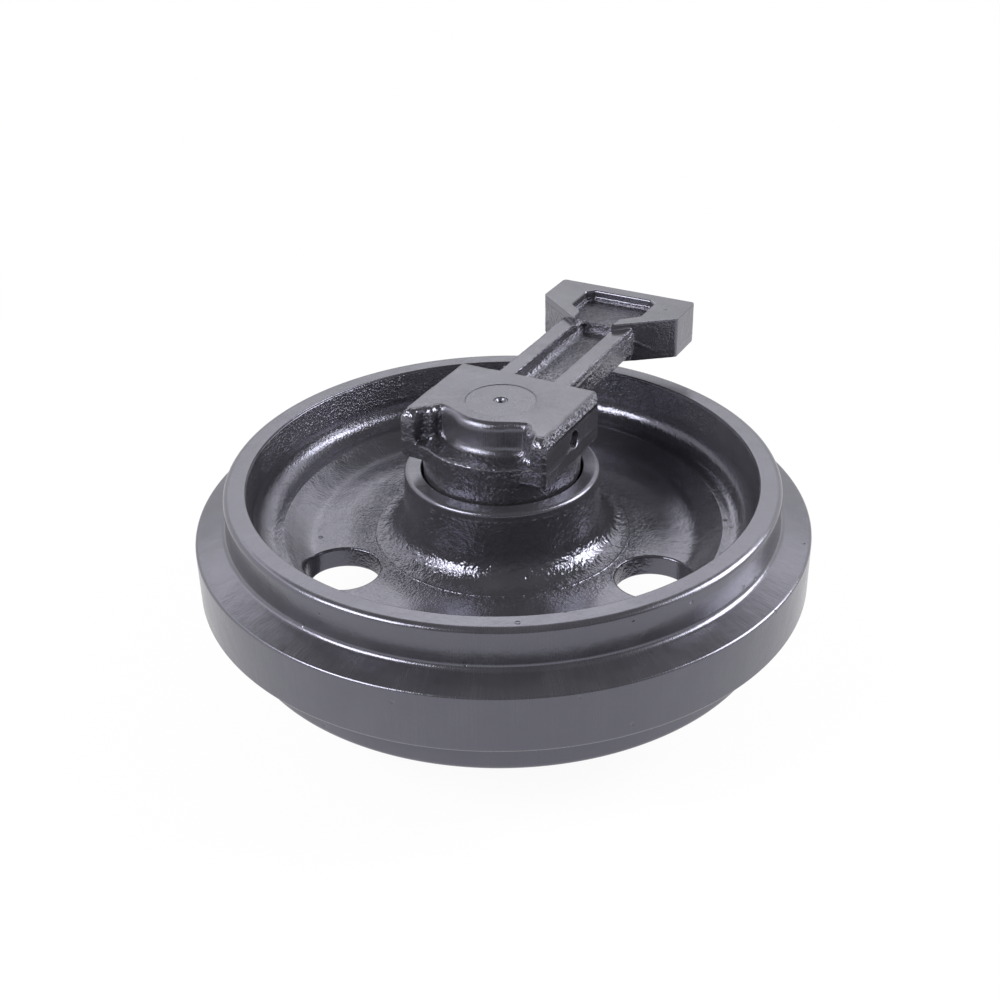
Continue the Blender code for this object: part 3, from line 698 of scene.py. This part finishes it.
# %% Sizes of a bracket
BORE_RADIUS, NOSE_RADIUS, NOSE_END, NOSE_LAP = 25.3, 30.5, 33.6, 73.0
FOOT_RADIUS, FOOT_DRAFT, FOOT_END, FOOT_TOP = 57.0, 0.8, 47.0, 90.0
ROOM_FLOOR, ROOM_SEAT = 63.0, 59.0
FACE, RAW_ABOVE = 113.0, 2.0
BLOCK_SIDE, BLOCK_BACK, BLOCK_FRONT, BLOCK_BOTTOM = 58.0, 42.5, 46.0, 76.0
BEVEL_WIDTH, BEVEL_HEIGHT = 3.2, 9.0
EAR_SIDE, EAR_ROOT, BOSS_FLANK, BOSS_ROOT = 45.6, 35.0, 35.5, 28.0
BOSS_RADIUS, NOTCH_FLOOR = 38.6, 88.0
NOTCH_FILLET, EAR_FILLET, NOTCH_EDGE, EAR_EDGE, SHELF_EDGE = 8.0, 4.0, 6.5, 3.0, 1.8
PARTING_RISE, PARTING_WIDTH = 0.45, 1.1
ARM_SIDE, ARM_TOP, ARM_BOTTOM, ARM_START = 29.0, 108.0, 85.0, 30.0
CHANNEL_SIDE, CHANNEL_FLOOR, CHANNEL_START, CHANNEL_END = 16.0, 95.5, 45.5, 169.0
CHANNEL_LEAN = 0.03
HEAD_END, HEAD_SIDE, HEAD_BOTTOM, HOOK_END, NECK = 224.0, 58.5, 80.0, 187.0, 164.0
POCKET_FLOOR, POCKET_SIDE, POCKET_BACK, POCKET_MOUTH, POCKET_CORNER = 104.0, 30.0, 212.0, 17.0, 5.5
LIP_END = 167.0
PIN_HEIGHT, PIN_HOLE = 95.0, 6.3


# %% Forms of a bracket
def block_form(x, side, height):
    """Block: straight sides with a steep bevel above, round front edge, raw top for machining."""
    plan = keep(side - BLOCK_SIDE, np.maximum(x - BLOCK_BACK, -BLOCK_FRONT - x), 5.0)
    bevel = slope(
        side, height, (BLOCK_SIDE, FACE - BEVEL_HEIGHT), (BLOCK_SIDE - BEVEL_WIDTH, FACE)
    )
    front = keep(-BLOCK_FRONT - x, height - FACE - 0.3, 10.5)
    form = keep(keep(plan, bevel, 0.8), BLOCK_BOTTOM - height, 3.0)
    return keep(form, np.maximum(front, height - FACE - RAW_ABOVE), 2.5)


def foot_form(reach, height):
    """Round foot, slightly wider at its top."""
    share = (height - FOOT_END) / (FOOT_TOP - FOOT_END)
    wall = reach - FOOT_RADIUS - FOOT_DRAFT * share
    return keep(wall, np.maximum(FOOT_END - height, height - FOOT_TOP), 1.2)


def notch_form(x, side, reach, height):
    """Space in two steps between each ear and the boss, down to the shelf in front."""
    by_ear = keep(side - EAR_SIDE, x + EAR_ROOT, 5.0)
    by_boss = keep(side - BOSS_FLANK, x + BOSS_ROOT, 3.5)
    plan = keep(join(by_ear, by_boss, 4.0), BOSS_RADIUS - reach, 5.0)
    fillet = np.interp(side, (33, 40), (NOTCH_FILLET, EAR_FILLET))
    return keep(plan, NOTCH_FLOOR - height, fillet)


def arm_form(x, side, height):
    """Flat bar that carries the two ribs."""
    bar = keep(side - ARM_SIDE, np.maximum(ARM_BOTTOM - height, height - ARM_TOP), 1.5)
    return np.maximum(bar, np.maximum(ARM_START - x, x - HOOK_END))


def channel_form(x, side, height):
    """Groove between the ribs: walls that lean outwards, and a wide fillet along their foot."""
    wall = side - CHANNEL_SIDE + CHANNEL_LEAN * (ARM_TOP - height)
    plan = keep(wall, np.maximum(CHANNEL_START - x, x - CHANNEL_END), 3.0)
    return keep(plan, CHANNEL_FLOOR - height, 6.0)


def head_form(x, side, height):
    """Hook head: full width behind, slanted towards the neck in front."""
    slant = slope(x, side, (HOOK_END, HEAD_SIDE), (NECK, ARM_SIDE))
    plan = keep(keep(side - HEAD_SIDE, x - HEAD_END, 3.0), slant, 1.2)
    return keep(plan, np.maximum(HEAD_BOTTOM - height, height - FACE - 0.4), 1.2)


def pocket_form(x, side, height):
    """Pocket in the head: a mouth towards the channel, then wider with cut back corners."""
    widening = slope(
        x, side, (LIP_END + POCKET_SIDE - POCKET_MOUTH, POCKET_SIDE), (LIP_END, POCKET_MOUTH)
    )
    corner = slope(
        x, side, (POCKET_BACK, POCKET_SIDE - POCKET_CORNER),
        (POCKET_BACK - POCKET_CORNER, POCKET_SIDE),
    )
    room = np.maximum(side - POCKET_SIDE, x - POCKET_BACK)
    room = np.maximum(room, np.maximum(widening, corner))
    mouth = np.maximum(side - POCKET_MOUTH, np.maximum(NECK - 6 - x, x - LIP_END - 4))
    return keep(join(room, mouth, 1.0), POCKET_FLOOR - height, 2.0)


def parting_ridge(x, height):
    """How far the seam of the mould stands out: a bell over the seam's height at that x."""
    seam = np.interp(x, (34, 50, 160, 176), (88, 101, 101, 87))
    rise = np.interp(x, (160, 180), (PARTING_RISE, PARTING_RISE / 4))
    return rise * np.exp(-((height - seam) / PARTING_WIDTH) ** 2)


def bracket_form(x, y, height):
    """The whole bracket: castings joined, openings cut, face and bores machined."""
    side, reach = np.abs(y), np.hypot(x, y)
    form = join(block_form(x, side, height), foot_form(reach, height), 3.0)
    form = join(form, arm_form(x, side, height), 7.0)
    head_fillet = np.interp(height, (ARM_TOP - 6, ARM_TOP - 2), (3.0, 0.8))
    form = join(form, head_form(x, side, height), head_fillet)
    form = np.maximum(form - parting_ridge(x, height), height - FACE - 0.4)
    top_edge = np.interp(side, (40, 45), (NOTCH_EDGE, EAR_EDGE))
    above = np.clip((height - NOTCH_FLOOR - 4) / 8, 0, 1)
    notch_edge = SHELF_EDGE + (top_edge - SHELF_EDGE) * above
    form = cut(form, notch_form(x, side, reach, height), notch_edge)
    form = cut(form, channel_form(x, side, height), 1.4)
    form = cut(form, pocket_form(x, side, height), 2.2)
    form = np.maximum(form, height - FACE)
    seat = slope(
        reach, height, (HOUSING_RADIUS, ROOM_SEAT), (HOUSING_RADIUS - SEAT_STEP, ROOM_FLOOR)
    )
    room = np.maximum(np.maximum(reach - HOUSING_RADIUS, height - ROOM_FLOOR), seat)
    form = np.maximum(form, -room)
    nose = np.maximum(reach - NOSE_RADIUS, np.maximum(NOSE_END - height, height - NOSE_LAP))
    form = np.minimum(form, nose)
    form = np.maximum(form, BORE_RADIUS - reach)
    pin_hole = np.maximum(np.hypot(x, height - PIN_HEIGHT) - PIN_HOLE, y)
    return cut(form, pin_hole, 0.8)


# %% [markdown]
# ### From a formula to a mesh
#
# The formula is evaluated on a fine grid of cells. Wherever its sign changes along an edge
# of the grid, the surface crosses that edge. Marching cubes would put points on those
# edges and cut off every sharp corner. Dual contouring puts one point inside each
# crossed cell instead, where the tangent planes of its crossings meet: on a flat face that is
# a point of the face, and on a machined edge it is a point of the edge. Each crossed edge then
# gives one quad between the four cells around it, so the mesh is closed by itself.

# %% Dual contouring
NUDGE, HOLD = 0.04, 0.03


def crossings(form, value, axis, low, cell):
    """Grid edges along an axis where the sign changes: start index, point, and direction."""
    inside = value < 0
    before, after = [slice(None)] * 3, [slice(None)] * 3
    before[axis], after[axis] = slice(None, -1), slice(1, None)
    start = np.argwhere(inside[tuple(before)] != inside[tuple(after)])
    end = start + np.eye(3, dtype=int)[axis]
    near, far = value[tuple(start.T)], value[tuple(end.T)]
    a, b = np.zeros(len(start)), np.ones(len(start))
    point = low + cell * start.astype(float)
    base = point[:, axis].copy()
    for _ in range(3):
        share = a + (b - a) * near / (near - far)
        point[:, axis] = base + cell * share
        here = form(*point.T)
        same = (here < 0) == (near < 0)
        a, near = np.where(same, share, a), np.where(same, here, near)
        b, far = np.where(same, b, share), np.where(same, far, here)
    return start, point, inside[tuple(start.T)]


def slopes(form, points):
    """Unit normals of the formula, from differences over a small nudge along each axis."""
    steps = np.eye(3) * NUDGE
    change = [form(*(points + step).T) - form(*(points - step).T) for step in steps]
    normal = np.stack(change, axis=-1)
    return normal / np.maximum(np.linalg.norm(normal, axis=1, keepdims=True), 1e-9)


def contoured(form, low, high, cell):
    """Points and quads of the surface form(x, y, z) = 0, one point in each crossed cell.

    The point v of a cell solves (sum of n n' + hold) (v - m) = sum of n (n . (p - m)), with
    n and p the normals and points of its crossings and m their mean.
    """
    low = np.array(low, float)
    axes = [np.arange(a, b + cell, cell) for a, b in zip(low, high)]
    value = form(*np.meshgrid(*axes, indexing="ij", sparse=True))
    cells = np.array(value.shape) - 1
    owners, points, normals, flips = [], [], [], []
    for axis in range(3):
        start, point, inside = crossings(form, value, axis, low, cell)
        u, v = np.eye(3, dtype=int)[(axis + 1) % 3], np.eye(3, dtype=int)[(axis + 2) % 3]
        around = np.stack([start - u - v, start - v, start, start - u], axis=1)
        owners.append(np.ravel_multi_index(tuple(np.moveaxis(around, -1, 0)), cells))
        points.append(point)
        normals.append(slopes(form, point))
        flips.append(~inside)
    owners, points, normals = np.vstack(owners), np.vstack(points), np.vstack(normals)
    flips = np.concatenate(flips)
    used, quads = np.unique(owners, return_inverse=True)
    quads = quads.reshape(-1, 4)
    crossing = np.repeat(np.arange(len(points)), 4)
    count = np.bincount(quads.ravel())[:, None]

    def summed(values):
        flat = values.reshape(len(values), -1)[crossing]
        columns = [np.bincount(quads.ravel(), flat[:, k]) for k in range(flat.shape[1])]
        return np.stack(columns, axis=-1).reshape(-1, *values.shape[1:])

    mean = summed(points) / count
    planes = summed(normals[:, :, None] * normals[:, None, :])
    offsets = summed(normals * (normals * points).sum(axis=1, keepdims=True))
    right = offsets - np.einsum("kij,kj->ki", planes, mean)
    held = planes + HOLD * count[:, :, None] * np.eye(3)
    place = mean + np.linalg.solve(held, right[..., None])[..., 0]
    corner = low + cell * np.stack(np.unravel_index(used, cells), axis=-1)
    place = np.clip(place, corner, corner + cell)
    quads[flips] = quads[flips][:, ::-1]
    return place, quads


# %% Both brackets
CELL = 1.25
BRACKET_SEED = 29
SIDE_CAST, ARM_TOP_CAST, HEAD_CAST, TORCH_CUT = 0.35, 0.15, 0.4, 2


def bracket_cast(points):
    """Finish of the bracket's skin: 0 machined, 0.3 smooth, 1 rough cast, 2 on the torch cut."""
    x, y, height = points.T
    side, reach = np.abs(y), np.hypot(x, y)
    cast = np.ones(len(points))
    bevel = (side > BLOCK_SIDE - BEVEL_WIDTH - 0.2) & (np.abs(x) < BLOCK_BACK)
    cast[(side > BLOCK_SIDE - 0.1) & (x < BLOCK_BACK)] = SIDE_CAST
    cast[bevel & (height > FACE - BEVEL_HEIGHT + 0.3)] = TORCH_CUT
    cast[(height > ARM_TOP - 0.1) & (x > BLOCK_BACK)] = ARM_TOP_CAST
    cast[(x > NECK) & (side > ARM_SIDE) & (y < 0)] = HEAD_CAST
    cast[x > HEAD_END - 0.1] = HEAD_CAST
    cast[(height > FACE - 0.05) | (reach < HOUSING_RADIUS) & (height < FACE - 0.05)] = 0
    cast[height < FOOT_END + 0.1] = 0
    return cast


def bracket_mesh():
    """The upper bracket with its casting skin, contoured in a box just larger than it."""
    margin = 2 * CELL
    low = (-FOOT_RADIUS - margin - 0.3, -HEAD_SIDE - margin, NOSE_END - margin)
    high = (HEAD_END + margin, HEAD_SIDE + margin, FACE + margin)
    points, quads = contoured(bracket_form, low, high, CELL)
    mesh = mesh_from("bracket_casting", points, quads, bracket_cast(points))
    return roughened(mesh, BRACKET_SEED)


both("bracket_casting", bracket_mesh(), bracket_paint, FIXED, "bracket_paint", "bracket")

# %% [markdown]
# ## Axle
#
# The axle is a plain bar, flush with the brackets. Its end is painted with them, so that
# only a thin circle shows where it is. Inside it has a groove for an O-ring near each
# end, a hole for each lock pin, and an oil gallery that leads from the plug to the
# bushings. Cuts from the side don't suit a turned outline, so the bar is contoured from
# a distance formula too, as the brackets are.

# %% Axle
AXLE_RADIUS, AXLE_END = 25.15, 112.65
GROOVE_RADIUS, GROOVE_HEIGHT, GROOVE_HALF = 22.4, 69.0, 1.8
GALLERY_RADIUS, PLUG_BORE, PLUG_BOTTOM, FEED_RADIUS, PIN_END = 4.0, 5.15, 103.7, 2.5, 15.7
AXLE_CELL = 1.0


def axle_form(x, y, height):
    """Round bar; grooves, gallery, plug hole, feed hole and pin holes taken out."""
    reach, tall = np.hypot(x, y), np.abs(height)
    bar = np.maximum(reach - AXLE_RADIUS, tall - AXLE_END)
    groove = np.maximum(GROOVE_RADIUS - reach, np.abs(tall - GROOVE_HEIGHT) - GROOVE_HALF)
    gallery = np.maximum(reach - GALLERY_RADIUS, -GALLERY_RADIUS - height)
    plug_hole = np.maximum(reach - PLUG_BORE, PLUG_BOTTOM - height)
    feed = np.maximum(np.hypot(y, height) - FEED_RADIUS, -x)
    towards_pin = y * np.where(height > 0, 1, -1) + PIN_END
    pin = np.maximum(np.hypot(x, tall - PIN_HEIGHT) - PIN_HOLE, towards_pin)
    opening = np.minimum(np.minimum(groove, gallery), np.minimum(feed, pin))
    opening = np.minimum(opening, plug_hole)
    return np.maximum(bar, -opening)


def axle_mesh():
    """The axle's surface, contoured in a box just larger than the bar."""
    room = np.array([AXLE_RADIUS, AXLE_RADIUS, AXLE_END]) + 1.6 * AXLE_CELL
    points, quads = contoured(axle_form, -room, room, AXLE_CELL)
    return mesh_from("axle_bar", points, quads, np.zeros(len(points)))


# %% [markdown]
# ## Steel, bronze, iron and rubber
#
# Most of these pieces are out of sight inside the hub, but they come into view in an
# exploded drawing, so each has its own finish. Bare metal is mostly its roughness: fine
# lines from the lathe or the grinder, uneven brightness, and a slight change of colour
# where oil has stood. Rubber is nearly black, dull, and slightly mottled. Where paint
# covers the end of a steel piece, one mask fades the metal out and the paint in.

# %% Bare metal and rubber
STEEL, LATHE_SCALES, PAINT_FADE = (0.42, 0.42, 0.43), (30, 30, 1400), 0.1


def bare(name, colour, worn, metallic, roughness, line, painted_above=None):
    """Metal or rubber with lathe lines of that depth (mm); paint on ends above a height (mm)."""
    material, tree, sockets, place = started(name)
    stains = place.noise(60, 3).ramp(0.35, 0.7)
    shade = mixed_colour(tree, (*colour, 1), (*worn, 1), stains)
    rough = roughness + 0.10 * stains + 0.06 * place.noise(500, 2)
    lines = place.scaled(*LATHE_SCALES).noise(1.0, 2) * line + around_lines(place) * line
    if painted_above is None:
        sockets["Metallic"].default_value = metallic
    else:
        glossy_film(sockets)
        up = place.node("ShaderNodeSeparateXYZ", None, {"Vector": place}, "Z") - middle * MM
        starts, ends = (painted_above - PAINT_FADE) * MM, painted_above * MM
        painted = up.maths("ABSOLUTE", up).ramp(starts, ends)
        film = mixed_colour(tree, CHARCOAL, CHARCOAL_DUSTY, stains * 0.6)
        shade = shade.colour_to(film, painted)
        rough = rough * (1 - painted) + (0.26 + 0.06 * stains) * painted
        tree.links.new((metallic * (1 - painted)).socket, sockets["Metallic"])
    connect(tree, sockets, shade, rough, lines)
    return material


axle_steel = bare("axle_steel", STEEL, (0.30, 0.30, 0.31), 1.0, 0.20, 0.02, 112.5)
plug_steel = bare("plug_steel", STEEL, (0.20, 0.20, 0.21), 1.0, 0.24, 0.02, 104.5)
pin_steel = bare("pin_steel", STEEL, (0.28, 0.28, 0.29), 1.0, 0.24, 0.02)
bronze = bare("bushing_bronze", (0.55, 0.36, 0.16), (0.38, 0.23, 0.10), 1.0, 0.24, 0.03)
seal_iron = bare("seal_iron", STEEL, (0.34, 0.34, 0.36), 1.0, 0.16, 0.01)
rubber = bare("seal_rubber", (0.012, 0.012, 0.012), (0.020, 0.019, 0.018), 0.0, 0.46, 0.04)
finished(axle_mesh(), axle_steel, FIXED, "axle_steel", "axle_shaft")

# %% [markdown]
# ## Plug and lock pins
#
# The oil plug has a hexagon socket with a round countersink, where the light draws two
# small glints. Round and six-sided rows share one grid: each row has a radius, a height
# and a share of "hexagon", which is 0 outside and in the countersink and 1 in the socket.
#
# The lock pins are turned, with chamfered ends and the small cone of a centre drill, and
# one of them is visible deep in the hole at the side of the bracket.

# %% Plug and pins
ROUND_TURNS = 96
round_turns = np.linspace(0, 2 * np.pi, ROUND_TURNS, endpoint=False)
PLUG_ROWS = np.array([
    (0, 104.0, 0), (4.85, 104.0, 0), (4.85, 112.0, 0), (4.75, 112.25, 0), (4.5, 112.35, 0),
    (3.75, 112.35, 0), (3.65, 112.2, 0), (2.8, 110.9, 0), (2.4, 110.6, 1), (2.4, 107.8, 1),
    (2.2, 107.6, 1), (0, 106.8, 1),
])


def plug_mesh():
    """Rows of radius r (1 - s) + r s / cos a, with a the angle from the nearest flat's middle."""
    radius, height, share = PLUG_ROWS.T
    sixth = np.pi / 3
    flat = np.cos((round_turns + sixth / 2) % sixth - sixth / 2)[:, None]
    reach = radius * (1 - share + share / flat)
    points = polar(reach, round_turns[:, None], height)
    faces = grid_faces(*reach.shape, around=True)
    return welded(mesh_from("socket_plug", points.reshape(-1, 3), faces, np.zeros(reach.size)))


def turned_mesh(name, profile):
    """The closed surface that this profile sweeps round the axle's axis."""
    grid = revolved(profile, round_turns)
    faces = grid_faces(*grid.shape[:2], around=True)
    return welded(mesh_from(name, grid.reshape(-1, 3), faces, np.zeros(grid[..., 0].size)))


finished(plug_mesh(), plug_steel, FIXED, "plug_steel", "oil_plug")
pin_profile, _ = outline([
    (0, 16.0, 0, 0), (6, 16.0, 0.8, 0), (6, 54.0, 0.9, 0), (1.5, 54.0, 0.2, 0), (0, 52.6, 0, 0),
])
pin_mesh = turned_mesh("pin", pin_profile)
pin_mesh.transform(
    Matrix.Translation((0, 0, PIN_HEIGHT * MM)) @ Matrix.Rotation(np.pi / 2, 4, "X")
)
both("drive_pin", pin_mesh, pin_steel, FIXED, "pin_steel", "lock_pin")

# %% [markdown]
# ## Bushings and seals
#
# Each end of the hub has a flanged bronze bushing and a face seal. The seal is two hard iron
# rings with lapped faces that run on each other, one in the hub and one in the bracket.
# Each ring sits in a thick rubber ring that presses it on and keeps it from turning in its
# housing. All of them are closed sections swept once round the axle.

# %% Bushings and seals
SEAL_PLANE = 46.5


def closed(corners):
    """The closed outline of a ring's section, from the middle of its last side and back."""
    (r0, w0, _), (r1, w1, _) = corners[-1], corners[0]
    start = ((r0 + r1) / 2, (w0 + w1) / 2, 0)
    return outline([(*corner, 0) for corner in (start, *corners, start)])[0]


def oval(radius, height, half_thickness, half_length):
    """Section of a rubber ring: an ellipse, as (radius, height)."""
    angle = np.linspace(0, 2 * np.pi, 25)
    return np.stack(
        [radius + half_thickness * np.cos(angle), height + half_length * np.sin(angle)], axis=-1
    )


def across(section):
    """The same section on the other side of the seal plane."""
    return section * (1, -1) + (0, 2 * SEAL_PLANE)


bushing = closed([
    (25.3, 8.0, 0.3), (29.0, 8.0, 0.9), (29.0, 30.3, 0),
    (34.5, 30.3, 0.3), (34.5, 33.3, 0.4), (25.3, 33.3, 0.6),
])
seal_ring = closed([
    (32.5, 34.8, 0.4), (36.0, 34.8, 0.6), (37.0, 38.45, 0), (37.0, 42.35, 0.3),
    (41.4, 42.35, 0.5), (41.4, 46.35, 0.5), (32.5, 46.35, 0.5),
])
toric = oval(40.0, 38.45, 2.7, 3.6)
both("bushing_sleeve", turned_mesh("s", bushing), bronze, TURNING, "bushing_bronze", "bushing")
for where, body, place_on in (("turning", TURNING, np.array), ("fixed", FIXED, across)):
    both(f"{where}_seal_ring_lapped", turned_mesh("s", place_on(seal_ring)), seal_iron, body,
         "seal_iron", f"{where}_seal_ring")
    both(f"{where}_rubber_ring", turned_mesh("s", place_on(toric)), rubber, body,
         "seal_rubber", f"{where}_toric")
both("axle_o_ring", turned_mesh("s", oval(23.85, GROOVE_HEIGHT, 1.15, 1.15)), rubber, FIXED,
     "seal_rubber", "shaft_o_ring")

# %% [markdown]
# ## Studio
#
# Dark glossy metal shows its surroundings more than its own colour. The surroundings are
# a white table and a studio whose walls are white from the horizon to half way up, dim
# overhead, and dark in front, where the camera stands. The flat tops mirror a soft bright
# spot on the wall behind. Two large soft boxes, one on the left and one on the right,
# draw the white lines along the rounded edges. The table is seen a little brighter than
# it is lit, so that it stays white and still keeps the shadow.

# %% Floor, world and lights
FLOOR_SIZE, FLOOR_FADE = 3.0, (0.45, 1.1)
FLOOR_WHITE, FLOOR_GLOW = 0.80, 0.94
HORIZON_LEVEL, WALL_LEVEL, SPOT_LEVEL, FRONT_LEVEL, CEILING_LEVEL = 1.05, 2.7, 1.1, 0.08, 0.15


def sine(degrees):
    """Height of a direction that far above the horizon."""
    return float(np.sin(np.radians(degrees)))


BEHIND = (-float(np.sin(CAMERA_AZIMUTH)), float(np.cos(CAMERA_AZIMUTH)), 0.0)
SPOT = (BEHIND[0] * sine(59.5), BEHIND[1] * sine(59.5), sine(30.5))


def floor_material():
    """White that takes the shadow near the object, and is plain white further out."""
    material = bpy.data.materials.new("white_table")
    material.use_nodes = True
    tree = material.node_tree
    tree.nodes.clear()
    wires = Wire(tree)
    place = wires.node("ShaderNodeTexCoord", output="Object")
    far = place.length()
    share = FLOOR_GLOW + (1 - FLOOR_GLOW) * far.ramp(*FLOOR_FADE)
    lit = wires.node("ShaderNodeBsdfDiffuse", None, {"Color": (FLOOR_WHITE,) * 3 + (1,)})
    glow = wires.node("ShaderNodeEmission", None, {"Color": (1, 1, 1, 1)})
    mixed = wires.node("ShaderNodeMixShader", None, {0: share, 1: lit, 2: glow})
    output = tree.nodes.new("ShaderNodeOutputMaterial")
    tree.links.new(mixed.socket, output.inputs["Surface"])
    return material


def table():
    """A flat round table under the object: one face on a ring of points."""
    angle = np.linspace(0, 2 * np.pi, 96, endpoint=False)
    points = np.stack([np.cos(angle), np.sin(angle), 0 * angle], axis=-1) * FLOOR_SIZE
    mesh = bpy.data.meshes.new("table")
    mesh.from_pydata(points.tolist(), [], [list(range(len(points)))])
    mesh.materials.append(floor_material())
    top = bpy.data.objects.new("table", mesh)
    bpy.context.scene.collection.objects.link(top)


def soft_box(name, azimuth, elevation, distance, size, watts):
    """A rectangular light at that turn and height round the wheel, facing it."""
    light = bpy.data.lights.new(name, "AREA")
    light.shape = "RECTANGLE"
    light.size, light.size_y = size
    light.energy = watts
    box = bpy.data.objects.new(name, light)
    a, e = np.radians(azimuth), np.radians(elevation)
    away = Vector((np.sin(a) * np.cos(e), -np.cos(a) * np.cos(e), np.sin(e)))
    box.location = Vector((0, 0, middle * MM)) + away * distance
    box.rotation_euler = away.to_track_quat("Z", "Y").to_euler()
    bpy.context.scene.collection.objects.link(box)


def world_light():
    """White walls up to half way with a bright spot behind, dark in front, dim overhead."""
    world = bpy.data.worlds.new("studio")
    bpy.context.scene.world = world
    world.use_nodes = True
    tree = world.node_tree
    heading = Wire(tree).node("ShaderNodeTexCoord", output="Generated")
    upward = heading.node("ShaderNodeSeparateXYZ", None, {0: heading}, "Z")
    wall = HORIZON_LEVEL + (WALL_LEVEL - HORIZON_LEVEL) * upward.ramp(sine(25), sine(32))
    wall = wall + SPOT_LEVEL * heading.dot(SPOT).ramp(sine(84), 1.0)
    front = 1 - heading.dot(BEHIND).ramp(-0.55, -0.1)
    wall = wall * (1 - (1 - FRONT_LEVEL) * front * upward.ramp(sine(4), sine(14)))
    level = CEILING_LEVEL + (wall - CEILING_LEVEL) * upward.ramp(sine(54), sine(31))
    tree.links.new(level.socket, tree.nodes["Background"].inputs["Strength"])
    tree.nodes["Background"].inputs["Color"].default_value = (1, 1, 1, 1)


table()
world_light()
soft_box("left_box", -120, 36, 2.2, (1.3, 0.85), 48)
soft_box("right_box", 33, 28, 2.2, (1.2, 1.3), 58)
bpy.context.scene.view_settings.view_transform = "Standard"
